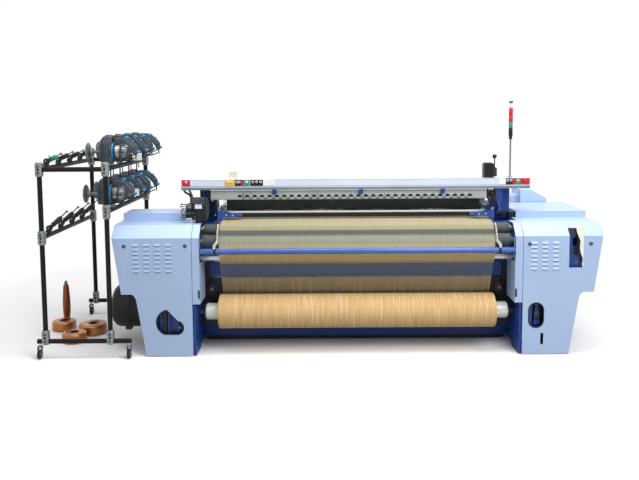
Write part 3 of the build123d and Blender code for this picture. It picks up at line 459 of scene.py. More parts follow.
def led_line(stops, lift):
    """Points in (Y, Z) of a sheet led over rollers, about 8 degrees or 40 mm apart."""
    raised = [(centre, radius + lift) for centre, radius in stops]
    angles = [touch_angle(a, b) for a, b in zip(raised, raised[1:])]

    def at(k, angle):
        (cy, cz), r = raised[k]
        return (cy + r * cos(radians(angle)), cz + r * sin(radians(angle)))

    points = []
    for k, angle in enumerate(angles):
        if k:
            sweep = (angle - angles[k - 1]) % 360
            parts = max(2, int(sweep / 8))
            points += [at(k, angles[k - 1] + sweep * i / parts) for i in range(parts)]
        a, b = at(k, angle), at(k + 1, angle)
        runs = max(1, int(hypot(b[0] - a[0], b[1] - a[1]) / 40))
        points += [(a[0] + (b[0] - a[0]) * i / runs, a[1] + (b[1] - a[1]) * i / runs) for i in range(runs)]
    return points + [at(len(raised) - 1, angles[-1])]


def sheet_piece(name, material, line, half, columns):
    """An open sheet along a line in (Y, Z), and its length in metres."""
    xs = [-half + 2 * half * i / columns for i in range(columns + 1)]
    loops = []
    for k, (y, z) in enumerate(line):
        inside = 0 < k < len(line) - 1
        waves = [ripple * random.uniform(-1, 1) if inside else 0 for x in xs]
        loops.append([(x, y - wave, z) for x, wave in zip(xs, waves)])
    length = sum(hypot(b[0] - a[0], b[1] - a[1]) for a, b in zip(line, line[1:]))
    return Piece(name).use(material).skin(loops, ends=False, wrap=False), length / 1000


cloth_stops = [(fell, -0.3), (breast, breast_r), (take_up, take_up_r), (spreader, spreader_r), (roll, -166.1)]
web, web_length = sheet_piece("cloth_sheet", cloth, led_line(cloth_stops, 1.05), cloth_half, 120)
web = web.done("cloth_web")

turned = Piece("cloth_roll_wound").use(roll_cloth)
roll_half, roll_rim = 1325, [(1322, 162.5), (1325, 158), (1325, 79)]
profile = [(-x, r) for x, r in roll_rim[::-1]]
profile += [(3 - roll_half + k * 10, roll_r + 0.25 * random.uniform(-1, 1)) for k in range(1, 264)]
profile += roll_rim
turned.lathe("x", roll, profile, 72, ends=False)
turned.use(stray)
stray_r = roll_r - 0.3
for k in range(150):
    x = random.uniform(15 - roll_half, roll_half - 15)
    drift = random.gauss(0, 9)
    first = random.uniform(-2.3, 2.0)
    turn = random.uniform(0.5, 1.9)
    points = []
    for i in range(9):
        t = pi - first - turn * i / 8
        u = max(7 - roll_half, min(roll_half - 7, x + drift * (i / 8) ** 1.5))
        points.append((u, roll[0] + stray_r * cos(t), roll[1] + stray_r * sin(t)))
    turned.tube(points, random.uniform(0.9, 1.6), 5)
turned.done("cloth_roll", sharp=60)

core = Piece("roll_core_tube").use(core_steel)
core.lathe("x", roll, [(-1457, 20), (-1457, 67), (-1445, core_r), (1445, core_r), (1457, 67), (1457, 20)], 48)
for side in (-1, 1):
    core.use(dark_grey).about(side=side).lathe("x", roll, [(1450, 30), (stub_end, 30)], 24)
core.done("roll_core")


def roller_piece(name, node, material, at, radius):
    made = Piece(name).use(material)
    made.lathe("x", at, crown(-roller_half, roller_half, radius, 3), 48)
    made.use(steel)
    for side in (-1, 1):
        made.about(side=side).lathe("x", at, [(1459, radius * 0.72), (1469, radius * 0.7)])
        made.lathe("x", at, [(roller_half, 22), (stub_end, 22)], 24)
    made.done(node)


roller_piece("breast_cover", "breast_roller", roller_cover, breast, breast_r)
roller_piece("take_up_cover", "take_up_roller", roller_cover, take_up, take_up_r)
roller_piece("spreader_bar", "spreader_roller", steel, spreader, spreader_r)
roller_piece("back_rest_tube", "back_rest_roller", steel, rest, rest_r)

# Guard bar with its strap collars, straps, knots and the fringe at the cloth's edges
guard = Piece("guard_tube").use(bar_blue)
guard_at = (22, 1003)
guard.lathe("x", guard_at, crown(-1482, 1482, 27.5, 4))
for side in (-1, 1):
    guard.about(side=side).use(rubber).lathe("x", guard_at, crown(1325, 1351, 32, 3))
    strap = [(1338, 2, 1030), (1338, 14, 1052), (1322, 58, 1078), (1322, 62, 1140)]
    guard.use(string).tube(strap + [(1322, 118, 1224), (1322, 160, 1243)], 4.5)
    guard.tube([(1348, 2, 1030), (1352, 12, 1060), (1328, 50, 1092)], 4)
    for k in range(5):
        knot = []
        for i in range(4):
            x = 1322 + side * random.uniform(-9, 9)
            knot.append((x, 50 + random.uniform(-8, 4), 1084 + random.uniform(-12, 22)))
        guard.tube(knot, 4)
    for k in range(26):
        z = 1092 + 5.6 * k
        y = 66 + max(0, z - 1150) * 0.62
        tip = (random.uniform(1316, 1330), y - 8, z + random.uniform(-6, 3))
        guard.tube([(1308, y - 4, z), tip], 1.3, 5)
guard.done("guard_bar")

# Warp: a full sheet to the stop motion, then single ends through healds and reed
warp_line = led_line([(beam, 300), (rest, rest_r), ((1240, 1272.6), 1)], 1.3)
warp, warp_length = sheet_piece("warp_sheet", warp_thread, warp_line, warp_half, 60)
warp = warp.done("warp_yarns")
ends = Piece("warp_ends").use(warp_thread)
group_pitch = 2 * warp_half / 28
end_pitch = group_pitch / 15
for k in range(420):
    x = (k + 0.5) * end_pitch - warp_half
    if 0 < k % 15 < 14:
        ends.box((x - 0.5, x + 0.5), (430.5, 1241), (1274.6, 1275.6))
ends.done("warp_yarns", replaced=False)

drum = Piece("warp_beam_wound").use(beam_thread_painted_shade)
wound_yarn = [(-warp_half, 110), (-warp_half, 299.5), (warp_half, 299.5), (warp_half, 110)]
drum.lathe("x", beam, wound_yarn, 96, ends=False)
for side in (-1, 1):
    drum.about(side=side).use(flange_grey)
    drum.lathe("x", beam, [(warp_half, 390), (1303, 398), (1309, 399), (1312, 390)], 96)
    drum.lathe("x", beam, [(1311, 130), (1321, 120), (1468, 106)], 48)
    drum.use(steel).lathe("x", beam, [(1467, 30), (stub_end, 30)], 24)
    for spoke in zip(*[circle(beam, r, 12) for r in (125, 250, 385)]):
        drum.use(flange_grey).tube([(1313, *p) for p in spoke], [9, 7, 4], 6)
drum.done("warp_beam", sharp=30)

# Reed: wires between the race board and the cap
comb = Piece("reed_wires").use(heald_dark)
for k in range(2, 419):
    x = k * end_pitch - warp_half
    comb.box((x - 0.6, x + 0.6), (433, 443), (1260, 1313))
comb.use(cap_white).box((-1290, 1290), (428, 448), (1312, 1330))
comb.use(heald_dark).box((-1290, 1290), (432, 444), (1258, 1262))
comb.done("reed", sharp=30)

# Heald frames with their rows of healds, whose thin ends form the eye: Z of each form
rail_zs, stay_z = ((1050, 1110), (1440, 1500)), (1108, 1442)
flat_zs, eye_zs = ((1109, 1229), (1321, 1441)), ((1228, 1264), (1286, 1322))
for names, places in (("odd_heald_frames", (640, 720)), ("even_heald_frames", (680, 760))):
    harness = Piece(names + "_wired")
    for y in places:
        for low, high in rail_zs:
            harness.use(heald_dark).prism("x", rounded(y - 9, y + 9, low, high, 3, 2), -1440, 1440)
        harness.use(steel)
        for side in (-1, 1):
            harness.about(side=side).prism("z", rounded(1400, 1440, y - 8, y + 8, 2, 2), 1051, 1499)
        harness.use(heald_dark)
        place = (y - 640) // 40
        for k in range(7):
            x = (k * 4 + place - 14) * group_pitch
            harness.box((x - 4, x + 4), (y - 3, y + 3), stay_z)
        for k in range(420):
            x = k * end_pitch - warp_half
            for zs in eye_zs:
                harness.box((x - 0.8, x + 0.8), (y - 1, y + 1), zs)
            x += random.uniform(-0.9, 0.9)
            for zs in flat_zs:
                harness.box((x - 2.9, x + 2.9), (y - 1, y + 1), zs)
    harness.done(names, sharp=30)

# Feeder stand: the X of its left and right sides, the Y of its front and rear, the Z of its rails
stand_left, stand_right, stand_front, stand_rear = -2940, -2330, -20, 1440
foot_rail, left_rail, right_rail, high_rail, tube_r = 165, 1151, 1392, 1790, 22.5
post_places = [(x, y) for x in (stand_left, stand_right) for y in (stand_front, stand_rear)]
tubes = Piece("stand_tubes")
tubes.use(tube_black).lathes("z", post_places, [(262, tube_r), (1853, tube_r)], 24)
tubes.use(rubber).lathes("z", post_places, [(1850, 20), (1854, 19)], 24)
for y in (stand_front, stand_rear):
    tubes.use(tube_black).lathe("x", (y, foot_rail), [(-3014, tube_r), (-2141, tube_r)], 24)
    tubes.lathe("x", (y, high_rail), [(-2915, tube_r), (-2355, tube_r)], 24)
    tubes.use(rubber).lathe("x", (y, foot_rail), [(-3020, 18), (-3018, 23), (-3010, 23)], 24)
    tubes.lathe("x", (y, foot_rail), [(-2145, 23), (-2137, 23), (-2135, 18)], 24)
side_rails = [(stand_left, left_rail), (stand_left, high_rail)]
side_rails += [(stand_right, right_rail), (stand_right, high_rail)]
tubes.use(tube_black).lathes("y", side_rails, [(5, tube_r), (1415, tube_r)], 24)
tubes.done("stand_frame")

clamps = Piece("stand_clamp_castings")
for x, y in post_places:
    middle = left_rail if x == stand_left else right_rail
    for low, high in ((1725, 1855), (middle - 65, middle + 65), (135, 270)):
        clamps.about(x, y).use(clamp_cast).prism("z", rounded(-31, 31, -31, 31, 11), low + 12, high - 12)
        for a, b in ((low, low + 14), (high - 14, high)):
            clamps.lathe("z", (0, 0), [(a, 30), (a + 3, 33), (b - 3, 33), (b, 30)], 24)
        for z in (low + 34, high - 34):
            clamps.use(clamp_cast).prism("y", rounded(-14, 14, z - 13, z + 13, 5), -33, 33)
            clamps.use(black).lathe("y", (0, z), [(-39, 8), (-38, 9.5), (-32, 9.5)], 6)
        mid = (low + high) / 2
        clamps.box((-32, 32), (-4, 4), (low + 16, high - 16))
        clamps.prism("y", rounded(-8, 10, mid - 12, mid + 12, 5), -33.5, -30)
clamps.done("stand_clamps", bevel=1.2)

# Casters, with the axle 12 mm in front of the swivel or behind it
corners = {
    "front_left": (-2998, stand_front, -1),
    "front_right": (-2157, stand_front, -1),
    "rear_left": (-2998, stand_rear, 1),
    "rear_right": (-2157, stand_rear, 1),
}
for corner, (x, y, way) in corners.items():
    axle = (way * 12, 45)
    fork = Piece(corner + "_fork_sheet")
    cheek = [(axle[0] + 12 * cos(t), axle[1] + 12 * sin(t)) for t in [pi + pi * k / 6 for k in range(7)]]
    cheek += [(24, 104), (22, 116), (-22, 116), (-24, 104)]
    for side in (-1, 1):
        fork.about(x, y, side=side).use(cast).prism("x", cheek, 16.5, 19.5)
        fork.use(steel).lathe("x", axle, [(19, 7), (23, 6)], 6)
    fork.use(cast).lathe("z", (0, 0), [(108, 18), (110, 22), (118, 22), (121, 19), (126, 17)], 24)
    fork.lathe("x", axle, [(-19, 5.8), (19, 5.8)], 16)
    fork.use(steel).lathe("z", (0, 0), [(125, 12), (131, 12), (132, 8), (162, 8)], 16)
    fork.done(corner + "_caster_fork", bevel=0.6)
    wheel = Piece(corner + "_wheel_tyre").about(x, y)
    rim = [(-13, 30), (-14, 33), (-14, 40), (-10, 44.4), (10, 44.4), (14, 40), (14, 33), (13, 30)]
    wheel.use(rubber).lathe("x", axle, rim, 40, ends=False)
    hub = [(-13.5, 6.4), (-13.5, 12), (-6, 14), (-6, 28), (-12, 31)]
    hub += [(12, 31), (6, 28), (6, 14), (13.5, 12), (13.5, 6.4)]
    wheel.use(cast).lathe("x", axle, hub, 32, ends=False)
    wheel.done(corner + "_caster_wheel")

# Weft feeders: housing, arm and label on the carrier; ring, drum and inlet disc turn the yarn
rows = [150 + 307 * k for k in range(4)]
housings = Piece("feeder_bodies")
drums = Piece("feeder_drums_slatted")
shell = [(-118, 64, 236, 50), (-112, 54, 262, 57), (-84, 52, 296, 63)]
shell += [(-50, 50, 309, 65), (-12, 50, 309, 64), (0, 56, 302, 58)]
arm = [(-5, 254), (-5, 296), (40, 303), (92, 300), (134, 288), (196, 234), (222, 196), (226, 130)]
arm += [(190, 124), (176, 160), (140, 204), (104, 226), (50, 232)]
for rail, x, label in ((high_rail, -2295, 56), (right_rail, -2331, 104)):
    for y in rows:
        housings.about(stand_right, y, rail).use(cast).prism("z", rounded(-28, 28, -29, 29, 8), 23, 58)
        housings.use(steel).lathe("y", (0, 38), [(-34, 7), (-28, 7)], 6)
        housings.about(x, y, rail).use(feeder_grey)
        housings.skin([[(a, *p) for p in rounded(-w, w, low, high, 22)] for a, low, high, w in shell])
        for half, shrink in ((10, 0), (15, 5)):
            outline = [(a - shrink * (a - 110) / 110, z - shrink * (z - 240) / 60) for a, z in arm]
            housings.prism("y", outline, -half, half)
        housings.use(dark_grey)
        for k in range(4):
            housings.prism("z", rounded(20 * k - 96, 20 * k - 90, -67, 67, 2), 96, 230)
        housings.prism("x", rounded(-58, 58, 84, 282, 26), -3, 2)
        housings.box((-64, -20), (-40, 40), (306, 311.5))
        housings.tube([(4, -40, 66), (90, -34, 72), (206, -8, 132)], 6)
        housings.tube([(208, 0, 150), (210, -6, 110), (212, -10, 78)], [9, 7, 5], 8)
        housings.tube([(30, 62, 66), (120, 50, 62), (190, 12, 90)], 6)
        housings.prism("x", rounded(-44, 44, 62, 96, 8), 2, 60)
        housings.tube([(70, -56, 70), (74, -66, 118), (80, -60, 200), (84, -12, 262)], 6)
        housings.use(cast).tube([(10, -17, 276), (120, -17, 270), (196, -14, 196)], 3, 6)
        if y == rows[1]:
            housings.use(white).prism("y", rounded(112, 202, label, label + 70, 6), -84, -72)
        housings.use(cyan).lathe("y", (124, 286), crown(-19, 19, 14, 4), 24)
        housings.lathe("z", (178, 0), crown(238, 262, 11, 3), 16)
        drums.about(x, y, rail + 153)
        centre = (0, 0)
        drums.use(cyan).lathe("x", centre, crown(0, 12, 90, 4), 48)
        drums.lathe("x", centre, crown(217, 243, 14, 5), 24)
        drums.use(dark_grey).lathe("x", centre, crown(11, 21, 84, 3), 48)
        drums.lathe("x", centre, [(196, 12), (217, 12)], 16)
        drums.use(cast).lathe("x", centre, [(20, 54), (24, 56), (116, 53), (130, 48), (134, 40)], 40)
        drums.lathe("x", centre, [(-246, 40), (-244, 84), (-240, 88), (-236, 82), (-232, 30)], 40)
        drums.lathe("x", centre, [(-233, 17), (-150, 15), (-117, 24)], 20)
        drums.lathe("x", centre, crown(-222, -190, 34, 4), 24)
        drums.use(steel).lathe("x", centre, [(22, 57), (26, 60), (58, 60), (60, 54)], 40, ends=False)
        drums.use(black).lathe("x", centre, [(132, 42), (139, 36)], 32)
        for k, (near, far) in enumerate(zip(circle(centre, 59, 12), circle(centre, 56.5, 12))):
            drums.use(steel if k % 3 else dark_grey).tube([(22, *near), (115, *far)], 4.5, 6)
housings.done("feeder_housings")
drums.done("feeder_drums", sharp=30)

# Tensioners on the left rails, with guide rods up to the feeders, and rods between the rows
tension = Piece("tensioner_sets")
for rail, reach, rise in ((high_rail, 132, 62), (left_rail, 165, 150)):
    for k, y in enumerate(rows):
        tension.about(stand_left, y, rail + tube_r).use(dark_grey)
        tension.prism("z", rounded(-24, 24, -22, 22, 8), -1, 26)
        tension.prism("y", rounded(-16, 32, 24, 66, 12), -22, 22)
        for side in (-1, 1):
            disc = [(side * 21, 24), (side * 24, 26), (side * 27, 16)]
            tension.use(dark_grey).lathe("y", (8, 46), disc, 24)
            tension.use(steel).lathe("y", (8, 46), [(side * 26, 6), (side * 32, 5)], 8)
        foot = Vector((14, 0, 46))
        tip = foot + Vector((reach, 0, rise))
        tension.use(green if k == 0 and rail == high_rail else dark_grey)
        tension.tube([foot.lerp(tip, part) for part in (0.12, 0.18, 0.62, 0.68)], [14, 23, 23, 14], 20)
        for shift in (-17, 17):
            step = Vector((0, shift, 6))
            tension.use(dark_grey).tube([foot + step, tip + step], 3.2, 6)
        tension.use(cast).tube([tip + Vector((0, -20, 6)), tip + Vector((0, 20, 6))], 5)
        tension.lathe("y", (tip.x, tip.z + 6), [(-7, 8), (-5, 12), (5, 12), (7, 8)], 20)
        tension.use(black).tube([(30, -26, 32), (54, -30, 76), (38, -26, 98)], 5)
tension.done("yarn_tensioners")
rods = Piece("row_rods").use(dark_grey)
for y in rows:
    rods.about(-2318, y).tube([(0, -44, 1770), (0, -44, 1706), (-12, -30, 1660)], 7)
    rods.tube([(0, 44, 1770), (-4, 52, 1720)], 5)
rods.done("feeder_housings", replaced=False)

# Yarn packages: three flat cheeses and a pirn that stands upright
packs = Piece("wound_packages")
for x, y, r, h in ((-3105, 880, 122, 104), (-2850, 474, 122, 104), (-2752, 748, 140, 112)):
    face = [(3, 36), (4, r - 13), (9, r - 5), (18, r - 1)]
    face += [(18 + (h - 36) * k / 24, r - 1 + 0.8 * random.uniform(-1, 1)) for k in range(1, 24)]
    face += [(h - 18, r - 1), (h - 9, r - 5), (h - 4, r - 14), (h - 2, r - 40), (h - 3, 42)]
    packs.use(filament).lathe("z", (x, y), face, 64, ends=False)
    sleeve = [(0, 37), (0, 41), (h, 41), (h, 37), (h - 40, 36), (h - 41, 1)]
    packs.use(dark_grey).lathe("z", (x, y), sleeve, 40)
    # A black disc at the floor of the hollow core: painted shade, so the hole reads dark
    packs.use(black).lathe("z", (x, y), [(h - 39, 35), (h - 39, 2)], 32)
face = [(26, 31), (40, 31)]
for k in range(1, 60):
    swell = 29 + 12 * sin(pi * (k / 60) ** 0.8)
    face.append((40 + 376 * k / 60, swell + 0.4 * random.uniform(-1, 1)))
pirn_at = (-3165, 1130)
packs.use(pirn_thread).lathe("z", pirn_at, face + [(420, 26), (440, 18)], 40)
packs.use(dark_grey).lathe("z", pirn_at, crown(0, 27, 34, 4), 40)
packs.use(green).lathe("z", pirn_at, [(438, 15), (441, 17), (464, 15), (470, 10)], 32)
packs.done("yarn_packages", sharp=50)

# Main motor, with its outer foot cut short, and main shaft
motor = Piece("motor_drum").use(black)
profile = [(-2450, 60), (-2450, 120), (-2446, 128), (-2425, 178), (-2398, 204), (-2370, 214), (-2240, 216)]
profile += [(-2238, 212), (-2230, 212), (-2228, 216), (-1800, 216), (-1722, 216), (-1720, 200), (-1720, 80)]
motor.lathe("x", shaft_axis, profile, 56)
motor.lathe("x", shaft_axis, [(-1722, 80), (-1650, 80)], 32)
motor.prism("x", [(430, 0), (610, 0), (592, 200), (448, 200)], -1840, -1782)
motor.prism("x", [(452, 126), (588, 126), (582, 190), (458, 190)], -2324, -2266)
motor.lathes("x", circle(shaft_axis, 96, 8), [(-2449, 9), (-2441, 9)], 6)
motor.done("main_motor", bevel=1.5)
shaft = Piece("shaft_bar").use(steel).lathe("x", shaft_axis, crown(-1649, stub_end, 34.5, 3), 32)
shaft.done("main_shaft")

# Rapier wheels and bands
wheel_x, wheel_z, entry_x = 1965, 990, 1497.5
for side, word in ((-1, "left"), (1, "right")):
    disc = Piece(word + "_band_wheel").about(side=side).use(cream)
    at = (wheel_x, wheel_z)
    rim = [(483, 266), (483, 289), (485, 290), (515, 290), (517, 289), (517, 266), (483, 266)]
    disc.lathe("y", at, rim, 96, ends=False)
    disc.use(cast).lathe("y", at, [(547, 56), (483, 60), (481, 52), (481, 20)], 40)
    disc.use(steel).lathe("y", at, [(540, 24.5), (638, 24.5)], 32)
    disc.use(blue).about(side * wheel_x, 500, wheel_z)
    for t in turns(6):
        loops = []
        for r, half in ((50, 46), (90, 30), (200, 26), (250, 44), (268, 60)):
            near = (r * cos(t) - half * sin(t), r * sin(t) + half * cos(t))
            far = (r * cos(t) + half * sin(t), r * sin(t) - half * cos(t))
            loops.append([(u, y, v) for (u, v), y in ((near, -6), (near, 6), (far, 6), (far, -6))])
        disc.skin(loops)
    disc.done(word + "_rapier_wheel", sharp=30)
    strip = Piece(word + "_band_strip").about(side=side).use(black)
    loops = []
    for k in range(25):
        x = entry_x + (wheel_x - entry_x) * k / 24
        loops.append([(x, 485, 1280.4), (x, 515, 1280.4), (x, 515, 1283.2), (x, 485, 1283.2)])
    made = strip.skin(loops).done("rapier_bands", blended=True)
    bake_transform(made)
    wrap = Piece(word + "_band_wrap").about(side=side).use(black)
    loops = []
    for k in range(61):
        t = radians(268 * k / 60)
        edges = ((485, 290.6), (515, 290.6), (515, 293.4), (485, 293.4))
        loops.append([(wheel_x + r * sin(t), y, wheel_z + r * cos(t)) for y, r in edges])
    wrap.skin(loops).done("rapier_bands")


def turned_hole(x, z, wide, up, down):
    """A hole's outline as 16 points, with its own height above and below its centre."""
    return [(x + wide * cos(t), z + (up if sin(t) > 0 else down) * sin(t)) for t in turns(16)]


def pierced(piece, us, vs, ys, hole):
    """A flat rectangle with one hole of 16 points."""
    around = []
    for t in turns(16):
        far = 1 / max(abs(cos(t)), abs(sin(t)))
        u = (us[0] + us[1]) / 2 + (us[1] - us[0]) / 2 * cos(t) * far
        v = (vs[0] + vs[1]) / 2 + (vs[1] - vs[0]) / 2 * sin(t) * far
        around.append((u, v))
    front, back = ys
    edges = ((around, front), (hole, front), (hole, back), (around, back), (around, front))
    piece.skin([[(u, y, v) for u, v in edge] for edge, y in edges], ends=False)


# Button plates on the beam, as (left, right, material, X of the fixed buttons), and two keys
plates = [
    (-1700, -1621, red, [-1660]),
    (-1280, -1182, yellow, [-1249, -1216]),
    (-1181, -1122, black, [-1164, -1138]),
    (-1120, -1094, red, []),
    (-1093, -1040, green, []),
    (-1031, -907, black, [-1007, -969, -931]),
    (-906, -792, white, []),
    (1406, 1472, white, []),
    (1473, 1537, black, [1489, 1521]),
    (1538, 1571, red, []),
    (1572, 1611, green, [1592]),
    (1612, 1706, red, []),
]
button_z, plate_z, plate_y = 1627, (1588, 1648), (356, 360)
start_at, stop_at = (-1066.5, button_z), (1660, button_z)
keys = Piece("key_plates")
for left, right, material, buttons in plates:
    keys.use(material)
    pressed = [at for at in (start_at, stop_at) if left < at[0] < right]
    if pressed:
        pierced(keys, (left, right), plate_z, plate_y, turned_hole(*pressed[0], 10, 10, 10))
    else:
        keys.prism("y", rounded(left, right, *plate_z, 3), *plate_y)
    places = [(x, button_z) for x in buttons]
    keys.use(white).lathes("y", places, [(356, 12), (352, 12), (350, 10), (350, 8)], 24)
    keys.use(material).lathes("y", places, [(351, 7), (348.5, 6.5), (348, 5.5)], 24)
for at in (start_at, stop_at):
    keys.use(white).lathe("y", at, [(356, 12.5), (355, 13.5), (354, 12.5), (354, 10.4)], 32, ends=False)
keys.done("button_plates", bevel=0.5, weld=True)
go = Piece("start_key").use(white)
go.lathe("y", start_at, [(359.7, 9.6), (350, 9.6), (348.3, 8.6), (348, 6)]).done("start_button")
halt = Piece("stop_key").use(cast).lathe("y", stop_at, [(359.7, 9.6), (349.3, 9.6)])
halt.use(red).lathe("y", stop_at, [(349.3, 12), (347, 17), (342, 17), (339, 13), (338, 8)], 40)
halt.done("stop_button")

# Switch box, lever, signal tower
switch = Piece("switch_case").use(black)
switch.prism("z", rounded(1271, 1367, 402, 508, 8), 1650, 1788)
switch.prism("z", rounded(1281, 1357, 412, 498, 8), 1787, 1795)
for k in range(9):
    switch.prism("z", rounded(1275 + k * 10.2, 1281 + k * 10.2, 400, 510, 1.5, 2), 1662, 1778)
for ys in ((420, 436), (474, 490)):
    switch.use(dark_grey).prism("y", rounded(1366, 1399, 1661, 1749, 9), *ys)
switch.done("switch_box", bevel=1)
lever = Piece("lever_ball").use(steel).about(1382, 455)
lever.lathe("y", (0, 1700), [(-34, 7.9), (34, 7.9)], 24)
lever.use(dark_grey).lathe("z", (0, 0), [(1700, 9), (1716, 9), (1722, 6), (1838, 5.5)], 20)
ball = [(1858 + 21.5 * sin(radians(a)), 21.5 * cos(radians(a))) for a in range(-75, 80, 15)]
lever.use(black).lathe("z", (0, 0), ball)
lever.done("switch_lever")
tower_at = (1538, 460)
mast = Piece("signal_mast").use(cast)
mast.lathe("z", tower_at, [(1650, 24), (1655, 24), (1658, 14), (1664, 12), (1672, 9)])
mast.lathe("z", tower_at, [(1670, 8), (2029, 8)], 24)
mast.done("signal_pole")
tower = Piece("signal_stack")
bands = [(2028, 2060, 16, black), (2058, 2137, 19.5, black), (2137, 2194, 19, green), (2194, 2262, 19.5, red)]
bands += [(2265, 2333, 19.5, red), (2333, 2388, 10, clear), (2386, 2400, 19.5, black)]
for low, high, r, material in bands:
    tower.use(material).lathe("z", tower_at, crown(low, high, r, 2.5))
tower.use(black).lathe("z", tower_at, [(2261, 17), (2266, 17)])
tower.done("signal_lamps")

# Weft selector, finger plate and post
picker = Piece("selector_unit").use(black)
picker.prism("z", rounded(-1548, -1462, 190, 268, 6), 1247, 1381)
picker.use(dark_grey).prism("z", rounded(-1566, -1458, 196, 262, 5), 1380, 1438)
picker.use(feeder_grey).prism("z", rounded(-1596, -1456, 186, 268, 6), 1437, 1451)
picker.prism("y", [(-1594, 1450), (-1458, 1450), (-1458, 1478), (-1480, 1493), (-1594, 1493)], 197, 261)
picker.use(white).prism("y", rounded(-1548, -1482, 1388, 1430, 3), 193, 197)
for k in range(6):
    picker.use(dark_grey).prism("z", rounded(-1540 + 13 * k, -1535 + 13 * k, 186, 190, 1, 2), 1262, 1372)
outline = [(-1462, 1262), (-1440, 1262), (-1424, 1300), (-1416, 1350)]
outline += [(-1416, 1420), (-1424, 1462), (-1440, 1492), (-1462, 1492)]
picker.use(plate_green).prism("y", outline, 217, 243)
picker.use(black).prism("z", rounded(-1394, -1366, 378, 406, 5), 1250, 1548)
picker.use(steel).lathes("y", [(-1380, 1300), (-1380, 1500)], [(378, 7), (374, 7)], 6)
picker.use(black).lathes("y", [(-1580, 1472), (-1470, 1466)], [(197, 6), (194, 6)], 16)
cable = [(-1590, 210, 1440), (-1592, 205, 1380), (-1570, 200, 1320), (-1560, 200, 1262)]
picker.use(dark_grey).tube(cable, 5)
picker.done("weft_selector", bevel=0.8)

# Temples at the cloth's edges
arms = Piece("temple_arms")
holder = [(1150, 1292), (1310, 1282), (1345, 1300), (1345, 1330), (1310, 1342), (1150, 1322)]
bracket = [(1308, 1210), (1345, 1206), (1345, 1376), (1328, 1378), (1310, 1350)]
for side in (-1, 1):
    arms.about(side=side).use(temple_paint).prism("y", holder, 292, 328)
    arms.prism("y", bracket, 288, 333)
    arms.box((1343, 1530), (300, 330), (1206, 1234))
    arms.lathe("x", (310, 1306), [(1108, 10), (1112, 14), (1156, 15), (1160, 11)], 24)
    arms.use(black).lathe("x", (310, 1306), [(1104, 7), (1110, 9)], 16)
    arms.use(steel)
    arms.lathes("y", [(1200, 1307), (1262, 1310), (1328, 1240), (1328, 1362)], [(292, 8), (285.5, 8)], 6)
    arms.lathe("z", (1242, 310), [(1318, 9), (1338, 9), (1346, 6)], 16)
    arms.use(black).tube([(1232, 296, 1335), (1290, 290, 1352), (1336, 296, 1348)], 5)
arms.done("temples", bevel=1.2)

# Drop wires on the stop motion's contact bars
drops = Piece("drop_wires").use(heald_dark)
for y in (1008, 1038, 1068, 1098):
    for k in range(330):
        x = -1390 + 2780 * (k + 0.25 * (y % 4)) / 330
        drops.box((x - 0.5, x + 0.5), (y - 5.5, y + 5.5), (1268, 1412))
drops.done("warp_stop_motion", replaced=False)

# Covers: painted shadow strips under the louvres, dark seam lines, locks, rubber round the hand holes and
# along the inner edges
trim = Piece("cover_trim").use(shadow_and_seam)
# Painted shadow: a dark strip under each louvre of the front covers
for first, columns in ((-2107, 4), (1629, 3)):
    for column in range(columns):
        for line in range(7):
            x, low = first + 102 * column, 1065 - 41 * line
            trim.box((x, x + 56), (-0.5, 0.2), (low - 6.5, low + 0.5))


def lean(z, out=0):
    """X of a front cover's leaning side, or of a point out from it."""
    return 2225 + 75 * (z - 603) / 534 + out


def strip_on_side(low, high):
    """The outline of a thin dark strip on a front cover's leaning side."""
    return [(lean(low, -1), low), (lean(low, 0.4), low), (lean(high, 0.4), high), (lean(high, -1), high)]


for side in (-1, 1):
    trim.about(side=side)
    for x in (2186, 1614):
        trim.use(black).lathe("y", (x, 1063), [(-3, 17.6), (-4.6, 17), (-5, 15)])
        trim.use(cast).lathe("y", (x, 1063), [(-4.8, 10), (-6.5, 9)], 24)
        trim.use(black).box((x - 1.6, x + 1.6), (-7, -6), (1056, 1070))
    trim.use(rubber).tube([(1481, 6, 1128), (1481, 110, 1236), (1481, 150, 1243)], 4, 6)
    trim.tube([(1481, 2, 1130), (1481, 2, 950), (1478, 10, 900)], 4, 6)
    trim.prism("y", rounded(1484, 1500, 560, 640, 5), -3, 6)
    for column in range(3):
        for line in range(6):
            front, high = 420 + 120 * column, 1010 - 44 * line
            low = high - 24
            wedge = [(lean(high), high), (lean(low, 8), low), (lean(low), low)]
            trim.use(paint).prism("y", wedge, front, front + 84)
            # Painted shadow under each louvre on the leaning side
            trim.use(shadow_and_seam).prism("y", strip_on_side(low - 7, low), front, front + 84)
    for y, z in ((50, 640), (50, 1080), (350, 1080), (350, 640), (1085, 640), (1085, 1080)):
        trim.use(black).lathe("x", (y, z), [(lean(z, -2), 9), (lean(z, 3), 9), (lean(z, 4.5), 6)], 16)
    trim.use(shadow_and_seam).prism("y", strip_on_side(606, 1134), 330, 333)
    x = lean(900)
    trim.use(black).tube([(x - 2, 800, 900), (x + 17, 806, 900), (x + 17, 924, 900), (x - 2, 930, 900)], 5)
    for at in (rest, beam, sley_axis):
        trim.use(cast).lathe("x", at, [(1648, 56), (1660, 56), (1663, 52), (1663, 4)], 40)
        trim.use(steel).lathes("x", circle(at, 42, 6), [(1662, 6.5), (1668, 6)], 6)
trim.about()
for line in range(7):
    high = 1310 - 40 * line
    low = high - 22
    trim.use(paint).prism("x", [(1519, high), (1528, low), (1519, low)], 1886, 2084)
    # Painted shadow under each louvre of the top cover
    trim.use(shadow_and_seam).prism("x", [(1519, low), (1520.4, low), (1520.4, low - 7), (1519, low - 7)], 1886, 2084)
screws = [(y, z) for y in (1185, 1495) for z in (1025, 1330)]
trim.use(black).lathes("x", screws, [(2127, 8), (2132, 8), (2133, 5)], 16)
trim.use(shadow_and_seam).prism("x", rounded(1338, 1341, 1002, 1351, 1, 1), 2128, 2129.4)
trim.use(cast).lathes("y", [(500 * k - 1500, 1600) for k in range(7)], [(563, 9), (568, 9), (569, 6)], 16)


